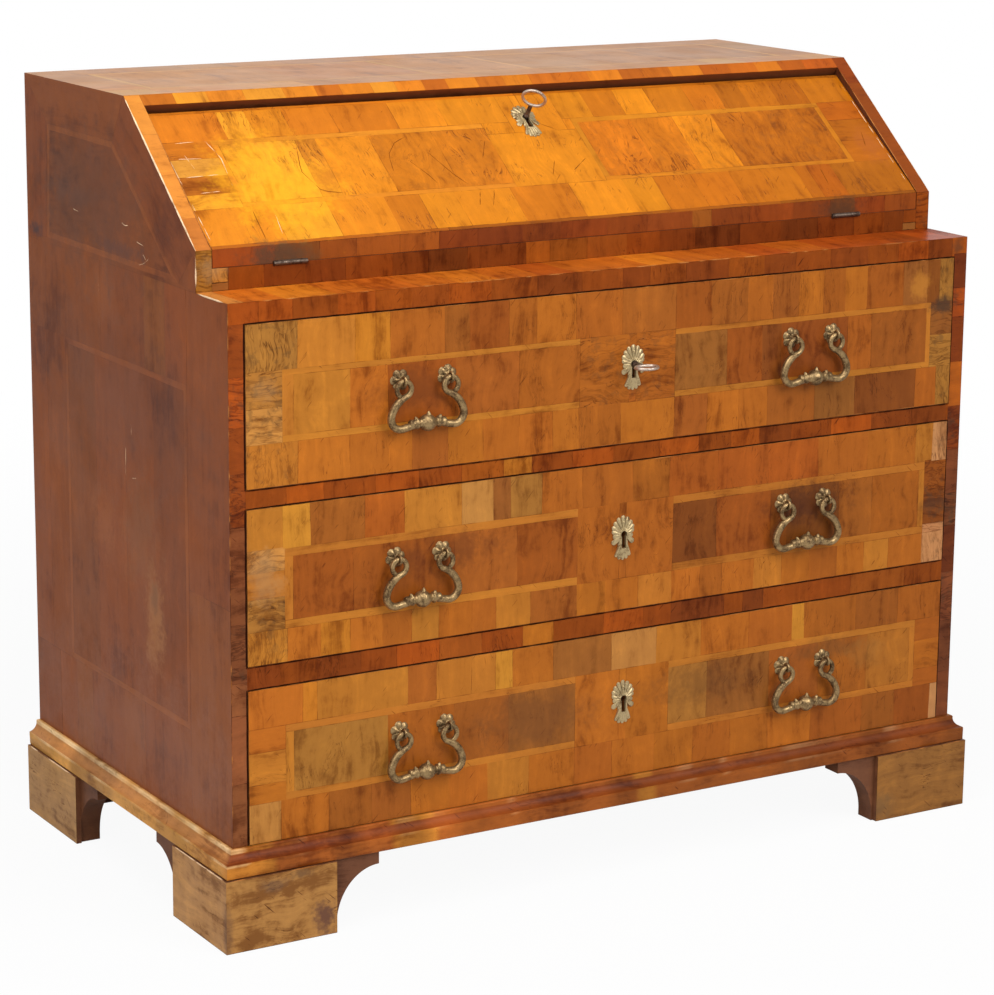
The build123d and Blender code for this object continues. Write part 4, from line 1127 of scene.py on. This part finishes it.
def moulding_tones(plan, profile):
    """Colours of the moulding's points, station after station: lighter along the sides, darker
    towards the right as painted shade, with golden pieces in front, and cream on the arrises that
    is wear and a painted highlight."""
    count = len(plan)
    on_front = (plan[:, 1] <= front + 1)[:, None, None]
    along_x = plan[:, 0][:, None, None]
    number = np.arange(len(profile))[None, :, None]
    hollow_end = hollow_start + hollow_points - 1
    hollow = (number > hollow_start) & (number < hollow_end)
    arrises = np.isin(number, (hollow_start - 1, hollow_start, hollow_end, hollow_end + 1,
                               hollow_end + 2))
    side_tone = np.where(hollow, linear("#a8703c"), linear("#b8823f"))
    front_tone = np.where(hollow, linear("#7e3c14"), linear("#96501c"))
    golden = np.any([np.abs(along_x - middle) < reach for middle, reach in golden_places], axis=0)
    front_tone = np.where(golden & ~hollow, linear("#b06e26"), front_tone)
    # painted shade: the front run grows darker towards the right
    front_tone = front_tone * (1 - 0.28 * np.clip(along_x / half + 0.4, 0, 1.4) / 1.4)
    tone = np.where(on_front, front_tone, side_tone * 1.16)
    # cream on the arrises: wear, and a painted highlight, much stronger along the sides
    wear = np.repeat(rng.uniform(0, 1, (count // 3 + 1, 1, 1)), 3, 0)[:count]
    wear = (wear + np.roll(wear, 1, 0) + np.roll(wear, -1, 0)) / 3
    near_corner = np.abs(along_x + half) < 14
    top_fillet = (profile[:, 1] > plinth_high - 6)[None, :, None]
    side_cream = np.where(top_fillet, np.clip(wear * 1.3, 0, 0.9), np.clip(wear * 1.4 - 0.5, 0, 0.7))
    cream = np.where(on_front, np.clip(wear - 0.7, 0, 0.12), side_cream)
    cream = np.where(near_corner & on_front, 0.4, cream)
    tone = np.where(arrises, tone * (1 - cream) + linear("#edca98") * cream, tone)
    lengths = np.repeat(rng.uniform(0.75, 1.25, (count // 5 + 1, 1, 1)), 5, 0)[:count]
    lengths = (lengths + np.roll(lengths, 1, 0)) / 2
    return np.broadcast_to(tone * lengths, (count, len(profile), 3)).reshape(-1, 3)


def moulding_run():
    """The profile carried round three sides: at each corner it points outwards on the diagonal.
    Stations every few millimetres leave room for dents along the arrises."""
    profile = moulding_profile()
    step = 9.0
    y_run = np.arange(back, front, -step)
    x_run = np.arange(-half + step, half, step)
    plan = np.concatenate([
        np.stack([np.full(len(y_run), -half), y_run], 1), [(-half, front)],
        np.stack([x_run, np.full(len(x_run), front)], 1), [(half, front)],
        np.stack([np.full(len(y_run), half), y_run[::-1]], 1)])
    out = np.zeros_like(plan)
    out[:, 0] = np.where(plan[:, 0] <= -half, -1, np.where(plan[:, 0] >= half, 1, 0))
    out[:, 1] = np.where(plan[:, 1] <= front, -1, 0)
    count = len(plan)
    worn = rng.uniform(0, 1, (count, len(profile)))
    worn = (worn + np.roll(worn, 1, 0) + np.roll(worn, -1, 0)) / 3
    arris = np.isclose(profile[:, 0], overhang)[None, :]
    lost = np.where(arris, np.clip(worn - 0.55, 0, 1) * 3.0, 0)
    reach = profile[None, :, 0] - lost
    points = np.zeros((count, len(profile), 3))
    points[..., 0] = plan[:, :1] + out[:, :1] * reach
    points[..., 1] = plan[:, 1:] + out[:, 1:] * reach
    points[..., 2] = profile[None, :, 1]
    faces = grid_faces(count, len(profile), False, True)
    faces += [list(range(len(profile))), [(count - 1) * len(profile) + i
                                          for i in range(len(profile))][::-1]]
    piece = make_mesh("plinth_moulding", points.reshape(-1, 3), faces, "case",
                      plinth_wood, smooth_angle=35)
    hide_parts("moulding_front", "moulding_left", "moulding_right")
    mesh = piece.data
    path = np.concatenate([[0], np.cumsum(np.linalg.norm(np.diff(plan, axis=0), axis=1))])
    round_it = np.concatenate([[0], np.cumsum(np.linalg.norm(np.diff(profile, axis=0), axis=1))])
    place = np.stack(np.broadcast_arrays(path[:, None], round_it[None, :]), -1).reshape(-1, 2) / 1000
    corner = np.zeros(len(mesh.loops), int)
    mesh.loops.foreach_get("vertex_index", corner)
    mesh.uv_layers.new(name="grain").data.foreach_set("uv", place[corner].ravel())
    tone = moulding_tones(plan, profile)
    colour = np.concatenate([tone, np.full((len(tone), 1), 0.45)], 1)
    mesh.color_attributes.new("tone", "FLOAT_COLOR", "POINT").data.foreach_set(
        "color", colour.ravel())
    mesh.attributes.new("inside", "FLOAT", "POINT").data.foreach_set("value", np.ones(len(tone)))


moulding_run()


# ---------------------------------------------------------------- brass handles

post_half, bail_stand = 32.5, 11.2
post_out, link_radius, link_rod = 6.4, 5.0, 1.7
eye_radius, eye_rod, arm_rod = 9.8, 3.0, 4.7
neck_radius, bow_bend, rise = 33.0, 13.4, 11.0


def bail_arm():
    """Middle line of the right arm as (x, z): round the eye from its outer side over the top and
    down its inner side to a little past its foot. From there the line turns the other way, along
    a wide arc down the neck and a tight one round the bow, and runs in towards the knob."""
    eye_turn = np.radians(np.linspace(-80, 250, 64))
    eye = np.stack([post_half + eye_radius * np.cos(eye_turn),
                    -eye_radius + eye_radius * np.sin(eye_turn)], 1)
    heading = np.radians(np.concatenate([np.linspace(20, 75, 24), np.linspace(78, 180 + rise, 36)]))
    bend = np.where(heading <= radians(75), neck_radius, bow_bend)
    reach = (bend[1:] * np.diff(heading))[:, None]
    middle = (heading[1:] + heading[:-1]) / 2
    steps = reach * np.stack([np.cos(middle), -np.sin(middle)], 1)
    bow = eye[-1] + np.cumsum(steps, 0)
    run = np.array([-cos(radians(rise)), sin(radians(rise))]) * (bow[-1][0] - 14)
    grip = bow[-1] + run * np.linspace(0, 1, 14)[1:, None]
    path = np.concatenate([eye, bow, grip])
    travelled = np.concatenate([[0], np.cumsum(np.linalg.norm(np.diff(path, axis=0), axis=1))])
    marks = [0, 4, 20, travelled[63] - 6, travelled[63] + 14, travelled[-1] - 22, travelled[-1]]
    radius = np.interp(travelled, marks, [1.4, eye_rod, eye_rod, eye_rod + 0.4, arm_rod, arm_rod,
                                          arm_rod - 0.4])
    return path, radius


knob_profile = [(-25.5, 3.4), (-24.5, 5.0), (-22.5, 5.6), (-19, 5.4), (-16.5, 6.2), (-14.2, 7.0),
                (-13.2, 5.4), (-11.8, 4.7), (-10.6, 5.4), (-9.8, 5.6), (-8.8, 6.8), (-6.0, 9.0),
                (-3.0, 10.0), (-0.6, 10.5), (0.6, 10.6), (3.0, 10.0), (6.0, 8.6), (8.4, 6.8),
                (9.2, 5.8), (10.4, 5.4), (11.8, 4.7), (13.2, 5.6), (14.2, 7.2), (16.5, 6.4),
                (19, 5.6), (22.5, 5.6), (24.5, 5.0), (25.5, 3.4)]
ear_profile = [(0, 3.4), (3, 2.9), (5, 1.9), (6, 0.8), (6.4, 0.2)]
finial_profile = [(0, 4.0), (3, 3.2), (5.5, 2.0), (7, 0.9), (7.5, 0.2)]


def bail(name, body, middle):
    """Swan-neck drop handle: two arms that end in eyes, and a turned knob between leafy collars."""
    arm, radius = bail_arm()
    parts = []
    for side in (-1, 1):
        path = np.stack([middle[0] + side * arm[:, 0], np.full(len(arm), middle[1]),
                         middle[2] + arm[:, 1]], 1)
        parts.append(rod(path, radius, Y, 18))
    grip = np.array([middle[0], middle[1], middle[2] + arm[-1][1] + 14 * tan(radians(rise)) * 0.3])
    parts.append(turned(grip, X, knob_profile))
    for side in (-1, 1):
        ear = grip + np.array([side * 15.5, -1.0, 3.0])
        parts.append(turned(ear, np.array([side * 0.35, 0, 0.937]), ear_profile, 14))
    parts.append(turned(grip + np.array([0.8, -1.0, 7.0]), Z, finial_profile, 14))
    points, faces = join(parts)
    piece = make_mesh(f"{name}_casting", points, faces, body, brass, smooth_angle=50)
    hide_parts(name)


petals = 6


def rosette(centre, turn, sides=120, rings=16):
    """Petalled rosette: in polar form, its edge swells out at each petal, and its height is a dome
    whose petals rise between grooves, with a raised button in the middle."""
    angle = np.linspace(0, 2 * pi, sides, endpoint=False)[:, None]
    share = np.linspace(0, 1, rings)[None, :]
    petal = np.abs(np.cos(petals / 2 * (angle - turn)))
    edge = 10.2 + 3.2 * petal ** 0.55
    groove = 0.55 + 0.45 * petal ** 0.45
    dome = 3.4 * (1 - share ** 4) * np.where(share > 0.35, groove, 1) + 0.5
    button = 1.6 * np.exp(-(share / 0.28) ** 4)
    radius = edge * np.maximum(share, 0.02)
    height = dome + button
    radius = np.concatenate([radius, edge, edge * 0.02], 1)
    height = np.concatenate([height, np.zeros((sides, 2)) - 0.1], 1)
    points = np.stack([centre[0] + radius * np.cos(angle), centre[1] - height,
                       centre[2] + radius * np.sin(angle)], -1)
    columns = rings + 2
    faces = grid_faces(sides, columns, True, False)
    faces.append([i * columns for i in range(sides)])
    faces.append([i * columns + columns - 1 for i in range(sides)][::-1])
    return points.reshape(-1, 3), faces


def posts(n, middles):
    """Rosettes, link rings, shanks and nuts of one drawer's four posts."""
    parts = []
    thickness = high(f"drawer_{n}_front")[1] - low(f"drawer_{n}_front")[1]
    for middle in middles:
        for side in (-1, 1):
            foot = np.array([middle[0] + side * post_half, drawer_face - proud, middle[2]])
            parts.append(rosette(foot, rng.uniform(0, 1)))
            parts.append(ring(foot - (bail_stand - proud) * Y, link_radius, link_rod, Y, X))
            parts.append(turned(foot - post_out * Y, Y, [
                (0, 2.9), (1, 3.4), (4, 3.8), (post_out - 0.2, 4.4), (post_out, 2.5),
                (thickness + 12.0, 2.5)], 18))
            parts.append(bar(foot + (thickness + proud + 2.1) * Y, (X, Y, Z), (12, 4, 12)))
    points, faces = join(parts)
    piece = make_mesh(f"drawer_{n}_posts", points, faces, f"drawer_{n}", brass, 45)
    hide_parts(f"drawer_{n}_handle_posts")


for n in drawer_numbers:
    middles = []
    for side in ("left", "right"):
        middle = joint_place(f"drawer_{n}_bail_{side}_swing")
        middles.append(middle)
        bail(f"drawer_{n}_bail_{side}", f"drawer_{n}_bail_{side}", middle)
    posts(n, middles)


# ---------------------------------------------------------------- escutcheons

# Round lobes that make the outline: across and up from the keyhole, and radius
lobes = [(0, 0, 10.2), (0, -12, 7.6), (0, -19, 7.4), (0, -22.5, 8.2), (0, -31.4, 2.3)]
for spread, out_to, size in ((0, 24.0, 3.0), (19, 23.0, 2.9), (38, 21.2, 3.0), (57, 19.4, 3.0)):
    for side in (-1, 1):
        lobes.append((side * sin(radians(spread)) * (out_to - size),
                      cos(radians(spread)) * (out_to - size), size))
for side in (-1, 1):
    lobes += [(side * 13.2, 4.0, 3.4), (side * 11.6, -2.4, 3.4), (side * 13.2, -9.6, 3.6),
              (side * 9.6, -26.6, 2.5), (side * 5.2, -30.2, 2.4)]
hole_radius, slot_half, slot_length = 4.4, 3.2, 18.0
ray_spacing, tooth_count = 19, 45       # degrees between the shell's rays; teeth round a circle


def escutcheon(name, node, body, centre, across, up):
    """Cast shell escutcheon in polar form round the keyhole. Its edge is the farthest reach, in
    each direction, of a set of round lobes; its inner edge is the keyhole; its section is a low
    dome with a rim at the keyhole, and grooves run between the rays of the shell."""
    angle = np.linspace(0, 2 * pi, 360, endpoint=False)
    ray = np.stack([np.cos(angle), np.sin(angle)], 1)
    edge = np.zeros(len(angle))
    for x, z, size in lobes:
        near = ray @ np.array([x, z])
        aside = ray[:, 0] * z - ray[:, 1] * x
        reach = near + np.sqrt(np.maximum(size ** 2 - aside ** 2, 0))
        edge = np.maximum(edge, np.where(np.abs(aside) < size, reach, 0))
    slot_side = slot_half / np.maximum(np.abs(ray[:, 0]), 1e-6)
    slot_end = slot_length / np.maximum(np.abs(ray[:, 1]), 1e-6)
    slot = np.maximum(hole_radius, np.minimum(slot_side, slot_end))
    hole = np.where(ray[:, 1] < 0, slot, hole_radius)
    share = np.linspace(0, 1, 14)
    crown = (1 - share ** 3) * 2.2 + 0.9
    crown[:3] += (0.5, 0.7, 0.3)
    radius = hole[:, None] + (edge - hole)[:, None] * share
    above = np.clip(ray[:, 1] + 0.35, 0, 1)
    rays = 0.5 + 0.5 * np.cos(360 / ray_spacing * (angle - pi / 2))
    teeth = 0.5 + 0.5 * np.cos(tooth_count * (angle + pi / 2))
    foot = np.clip(-ray[:, 1] - 0.93, 0, 0.05) * 20
    groove = ((above * (1 - rays) + foot * teeth) * 0.9)[:, None] * np.sin(pi * share) ** 0.7
    height = crown[None] - groove
    radius = np.concatenate([hole[:, None], radius, edge[:, None]], 1)
    flat = np.zeros((len(angle), 1)) - 0.1
    height = np.concatenate([flat, height, flat], 1)
    out = np.cross(across, up)
    points = (centre + (radius * ray[:, :1])[..., None] * across
              + (radius * ray[:, 1:])[..., None] * up + (height + proud)[..., None] * out)
    faces = grid_faces(len(angle), radius.shape[1], True, True)
    parts = [(points.reshape(-1, 3), faces)]
    nail = centre + 15.5 * up + 2.2 * out
    parts.append(turned(nail, out, [(0, 1.9), (0.8, 1.7), (1.3, 0.9), (1.45, 0.2)], 14))
    points, faces = join(parts)
    piece = make_mesh(name, points, faces, body, shell_brass, smooth_angle=50)
    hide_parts(node)


for n in drawer_numbers:
    x, z = keyholes[n]
    escutcheon(f"drawer_{n}_shell", f"drawer_{n}_escutcheon", f"drawer_{n}",
               np.array([x, drawer_face, z]), X, Z)
escutcheon("fall_shell", "fall_escutcheon", "fall", fall_keyhole, X, fall_up)


# ---------------------------------------------------------------- keys

bow_radius, bow_rod, key_shank = 11.6, 2.0, 2.9
bit_length, bit_height, bit_thick = 11.0, 6.0, 2.2
inner_end = 19.0            # the shank reaches this far into the board


def key(node, body, centre, out, aim, stand, reach_in):
    """Key: an oval ring bow, wider than long, a turned collar, a round shank and a square bit."""
    side = np.cross(out, aim)
    bow, around = ring(centre + stand * out, bow_radius, bow_rod, out, side, squash=1.28)
    make_mesh(f"{node}_bow", bow, around, body, steel, smooth_angle=45)
    shank = [(0, 2.4), (1, key_shank), (reach_in + 4.5, key_shank), (reach_in + 5.5, 4.2),
             (reach_in + 7.5, 4.4), (reach_in + 8.5, 3.2), (reach_in + 11, 3.0),
             (reach_in + stand - bow_radius + 0.5, 2.6)]
    parts = [turned(centre - reach_in * out, out, shank, 20)]
    root = centre - (reach_in - 0.5 - bit_height / 2) * out
    parts.append(bar(root + bit_length / 2 * aim, (aim, side, out),
                     (bit_length, bit_thick, bit_height)))
    points, faces = join(parts)
    piece = make_mesh(f"{node}_shank", points, faces, body, iron, smooth_angle=45)
    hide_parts(node)


key_centre = joint_place("drawer_1_key_turn")
key("drawer_1_key", "drawer_1_key", key_centre, -Y, X, 31.6, inner_end)
fall_aim = cos(radians(33)) * X - sin(radians(33)) * fall_up
key("fall_key", "fall_key", fall_keyhole, fall_out, fall_aim, 36.0, inner_end - 4.3)


# ---------------------------------------------------------------- worn arrises with a painted highlight, and painted gap shadows

def thin_strips(name, lines, material=worn_arris, thickness=0.65, body="case"):
    """Thin rounded strips of uneven thickness, a little sunk, along lines of two or more points:
    corners that hands and cloths wear, where the lighter strips are also a painted highlight,
    scratches and cracks, dark joints, and dark strips of painted shadow in gaps."""
    parts = []
    for line in lines:
        line = np.array(line, float)
        run = np.concatenate([[0], np.cumsum(np.linalg.norm(np.diff(line, axis=0), axis=1))])
        count = max(6, int(run[-1] / 10))
        at = np.linspace(0, run[-1], count)
        path = np.stack([np.interp(at, run, line[:, i]) for i in range(3)], 1)
        ahead = (line[-1] - line[0]) / np.linalg.norm(line[-1] - line[0])
        normal = np.cross(ahead, X if abs(ahead[0]) < 0.9 else Z)
        normal /= np.linalg.norm(normal)
        thick = thickness * (0.5 + 0.6 * rng.uniform(0, 1, count))
        thick[[0, -1]] *= 0.4
        parts.append(rod(path, thick, normal, 8))
    points, faces = join(parts)
    make_mesh(name, points, faces, body, material, smooth_angle=60)


def on_board(board, lines, depth):
    """Lines drawn on a board, as lines in the frame, lying this deep in its face."""
    return [[board.place(np.array(point, float), -depth) for point in line] for line in lines]


sink = 0.35                 # the strips lie this deep in their corners
corner_x, corner_y = half - sink, front + sink
ledge_corner, top_corner = ledge_top - sink, case_top - sink
inner_x = inner + 0.4
# Lighter strips along the case's arrises: wear and a painted highlight.
thin_strips("case_arrises", [
    ((corner_x, desk_front, slant_bottom), (corner_x, top_front, top_corner)),
    ((-corner_x, corner_y, ledge_corner), (corner_x, corner_y, ledge_corner)),
    ((-corner_x, top_front, top_corner), (corner_x, top_front, top_corner)),
    ((-corner_x, corner_y, plinth_high + 1), (-corner_x, corner_y, ledge_corner)),
    ((-inner_x, desk_front, slant_bottom + 1), (-inner_x, top_front - 14, case_top - 12)),
    ((inner_x, desk_front, slant_bottom + 1), (inner_x, top_front - 14, case_top - 12))])
# Near-white strips along the left side's front arrises: wear and a painted highlight.
thin_strips("pale_arrises", [
    ((-corner_x, desk_front, slant_bottom), (-corner_x, top_front, top_corner)),
    ((-corner_x, desk_front + sink, ledge_top + 1), (-corner_x, desk_front + sink, slant_bottom)),
    ((-corner_x, corner_y, ledge_corner), (-corner_x, desk_front, ledge_corner))],
    pale_arris, 1.15)
for n in drawer_numbers:
    z_low, z_high = low(f"drawer_{n}_front")[2], high(f"drawer_{n}_front")[2]
    x_end = high(f"drawer_{n}_front")[0]
    x_in, z_in, z_out = inner + 0.5, z_low - 1.8, z_high + 1.4
    # The near-black rods round each drawer's opening are painted shadow in the gap round the drawer.
    opening = [((-x_in, z_in), (-x_in, z_out)), ((x_in, z_in), (x_in, z_out)),
               ((-x_in, z_in), (x_in, z_in)), ((-x_in, z_out), (x_in, z_out)),
               ((-x_in - 0.6, z_in), (-x_in - 0.6, z_out))]
    thin_strips(f"opening_{n}_edges", on_board(front_face, opening, -0.1), gap_wood, 0.75)
    # Lighter strips along the bottom, left and top edges of each drawer front: wear and a painted
    # highlight.
    ends = [((-x_end + 0.3, z_low + 0.3), (x_end - 0.3, z_low + 0.3)),
            ((-x_end + 0.3, z_low + 0.3), (-x_end + 0.3, z_high - 0.3)),
            ((-x_end + 0.3, z_high - 0.3), (x_end - 0.3, z_high - 0.3))]
    thin_strips(f"drawer_{n}_arrises", on_board(Board((0, drawer_face, 0), X, Z), ends, 0.25),
              worn_arris, 0.5, f"drawer_{n}")
# Near-black rods along the desk board's top edge and where the ledge meets it: painted shadow in the gap
# under the fall and in that corner.
thin_strips("desk_edges", [
    ((-inner, desk_front + 0.45, desk_top - 1.0), (inner, desk_front + 0.45, desk_top - 1.0)),
    ((-inner, desk_front + 0.2, ledge_top + 0.3), (inner, desk_front + 0.2, ledge_top + 0.3))],
    gap_wood, 0.65)
foot_edge_x, foot_edge_y, foot_top = foot_x - 0.5, foot_y + 0.5, plinth_low - 0.5
# Pale and lighter strips along the feet's top arrises: wear and a painted highlight.
thin_strips("foot_arrises", [line for y_start, y_end in ((foot_edge_y + front_block, foot_edge_y),
                                                       (back - 1, back - back_block))
                           for line in (((-foot_edge_x, y_start, foot_top),
                                         (-foot_edge_x, y_end, foot_top)),
                                        ((foot_edge_x, y_start, foot_top),
                                         (foot_edge_x, y_end, foot_top)))], pale_arris, 0.9)
thin_strips("foot_front_arrises", [
    ((-foot_edge_x, foot_edge_y, foot_top), (-foot_edge_x + front_block, foot_edge_y, foot_top)),
    ((foot_edge_x - front_block, foot_edge_y, foot_top), (foot_edge_x, foot_edge_y, foot_top))],
    worn_arris, 0.7)
side_board = Board((-half, 0, 0), -Y, Z)
(back_left, _, back_low), (back_right, back_face, back_top) = low("back_boards"), high("back_boards")
back_board_count = 5
thin_strips("back_joints", [((x, back_face - 0.2, back_low + 1), (x, back_face - 0.2, back_top - 1))
                          for x in np.linspace(back_left, back_right, back_board_count + 1)[1:-1]],
          gap_wood, 0.8)
thin_strips("side_scratches", on_board(side_board, [
    [(24, 797), (40, 801), (52, 806), (60, 813)], [(50, 806), (38, 815)], [(20, 826), (46, 823)],
    [(-24, 845), (-12, 841), (0, 843)], [(-20, 565), (-22, 520)], [(-4, 525), (10, 528)],
    [(-2, 600), (-3, 575)], [(-150, 840), (-170, 842)], [(-95, 758), (-93, 745)]], 0.0),
    pale_arris, 0.42)
thin_strips("fall_cracks", on_board(fall_face, [
    [(-232, 104), (-226, 136), (-208, 157), (-188, 166)], [(-205, 128), (-188, 100), (-178, 76)],
    [(-172, 140), (-152, 96), (-138, 74)], [(-345, 160), (-356, 118), (-342, 82), (-312, 76)],
    [(10, 176), (38, 158), (62, 141)], [(-12, 80), (4, 108)], [(-140, 36), (-128, 62)],
    [(-122, 34), (-108, 60)], [(238, 80), (244, 110), (232, 138)], [(265, 136), (276, 166)],
    [(492, 92), (502, 126)], [(392, 20), (396, 60)], [(-448, 8), (-446, 62)],
    [(22, 86), (52, 108)], [(-98, 118), (-80, 150)]], 0.12), crack_wood, 0.7, "fall")
thin_strips("fall_pale_seams", on_board(fall_face, [
    [(-519, 6), (-520, 228)], [(-518, 178), (-462, 180), (-452, 150), (-456, 92)],
    [(-514, 152), (-470, 150)], [(-516, 120), (-462, 122)], [(-512, 92), (-470, 94)],
    [(-500, 170), (-492, 128)], [(519, 8), (520, 228)], [(-424, 8), (-418, 60)]], 0.3),
    pale_arris, 0.7, "fall")


# ---------------------------------------------------------------- stage, camera and light

def stage_material():
    """White floor: plain and matt, and shown to the camera and in reflections mostly as white."""
    material, tree, output = new_material("white_floor")
    matt = add(tree, "ShaderNodeBsdfDiffuse", Color=(0.66, 0.66, 0.66, 1))
    glow = add(tree, "ShaderNodeEmission", Color=(1, 1, 1, 1), Strength=1.0)
    seen = add(tree, "ShaderNodeLightPath")
    share = calc(tree, "MULTIPLY_ADD", seen.outputs["Is Glossy Ray"], 0.2,
                 seen.outputs["Is Camera Ray"])
    place = add(tree, "ShaderNodeTexCoord").outputs["Object"]
    far_away = add(tree, "ShaderNodeVectorMath", {"operation": "LENGTH"}, n0=place).outputs["Value"]
    shown = calc(tree, "MULTIPLY_ADD", between(tree, far_away, 0.7, 3.0), 0.06, 0.94)
    mix = add(tree, "ShaderNodeMixShader", n0=calc(tree, "MULTIPLY", share, shown),
              n1=matt.outputs[0], n2=glow.outputs[0])
    tree.links.new(mix.outputs[0], output.inputs["Surface"])
    return material


floor_half = 30.0
floor_mesh = bpy.data.meshes.new("floor")
floor_mesh.from_pydata([(-floor_half, -floor_half, 0), (floor_half, -floor_half, 0),
                        (floor_half, floor_half, 0), (-floor_half, floor_half, 0)], [],
                       [(0, 1, 2, 3)])
floor_mesh.materials.append(stage_material())
floor = bpy.data.objects.new("floor", floor_mesh)
bpy.context.scene.collection.objects.link(floor)

# White backdrop behind the piece, dimmer room in front of it and above
room_light = 0.34
world = bpy.data.worlds.new("studio")
bpy.context.scene.world = world
world.use_nodes = True
tree = world.node_tree
tree.nodes.clear()
path_node = add(tree, "ShaderNodeLightPath")
towards = add(tree, "ShaderNodeSeparateXYZ", n0=add(tree, "ShaderNodeTexCoord").outputs["Generated"])
backdrop = calc(tree, "MULTIPLY", between(tree, towards.outputs["Y"], 0.05, 0.45),
                calc(tree, "SUBTRACT", 1.0, between(tree, towards.outputs["Z"], 0.45, 0.85)))
reflected = calc(tree, "MULTIPLY_ADD", backdrop, 0.62, 0.38)
reflecting = calc(tree, "MAXIMUM", path_node.outputs["Is Glossy Ray"],
                  path_node.outputs["Is Transmission Ray"])
strength = calc(tree, "MULTIPLY_ADD", reflecting, calc(tree, "SUBTRACT", reflected, room_light),
                room_light)
strength = calc(tree, "MAXIMUM", strength, path_node.outputs["Is Camera Ray"])
room = add(tree, "ShaderNodeBackground", Color=(1, 1, 1, 1), Strength=strength)
tree.links.new(room.outputs[0], add(tree, "ShaderNodeOutputWorld").inputs["Surface"])


def softbox(name, place, target, size, power):
    """Square area lamp aimed at a point."""
    lamp = bpy.data.lights.new(name, "AREA")
    lamp.size = size
    lamp.energy = power
    unit = bpy.data.objects.new(name, lamp)
    bpy.context.scene.collection.objects.link(unit)
    aim = np.array(target) - np.array(place)
    aim = aim / np.linalg.norm(aim)
    right = np.cross(aim, Z)
    right /= np.linalg.norm(right)
    up = np.cross(right, aim)
    turn = Matrix((tuple(right), tuple(up), tuple(-aim))).transposed().to_4x4()
    unit.matrix_world = Matrix.Translation(place) @ turn


softbox("key_softbox", (1.5, -3.6, 2.9), (0, 0, 0.5), 2.5, 124)
softbox("top_softbox", (-1.1, -1.1, 3.4), (-0.2, 0, 0.8), 2.5, 76)
softbox("left_softbox", (-3.4, -1.8, 1.8), (0, 0, 0.5), 1.8, 34)

# Camera, worked out for an image of 994 x 995
image_width, image_height = 994, 995
camera_place = (-2.10095, -3.45435, 1.41021)
camera_yaw, camera_pitch, camera_roll = 0.533986218, 0.221450702, 0.00711
focal_pixels = 3112.66
centre_x, centre_y = 469.952, 452.063
sensor = 36.0

ahead = np.array([sin(camera_yaw) * cos(camera_pitch), cos(camera_yaw) * cos(camera_pitch),
                  -sin(camera_pitch)])
level = np.array([cos(camera_yaw), -sin(camera_yaw), 0.0])
upright = np.cross(level, ahead)
image_right = level * cos(camera_roll) + upright * sin(camera_roll)
image_up = upright * cos(camera_roll) - level * sin(camera_roll)
lens = bpy.data.cameras.new("camera")
lens.sensor_width = sensor
lens.lens = focal_pixels * sensor / max(image_width, image_height)
lens.shift_x = (image_width / 2 - centre_x) / max(image_width, image_height)
lens.shift_y = (centre_y - image_height / 2) / max(image_width, image_height)
lens.clip_end = 200
camera = bpy.data.objects.new("camera", lens)
bpy.context.scene.collection.objects.link(camera)
camera.matrix_world = Matrix.Translation(camera_place) @ Matrix(
    (tuple(image_right), tuple(image_up), tuple(-ahead))).transposed().to_4x4()
bpy.context.scene.camera = camera
bpy.context.scene.view_settings.view_transform = "Standard"
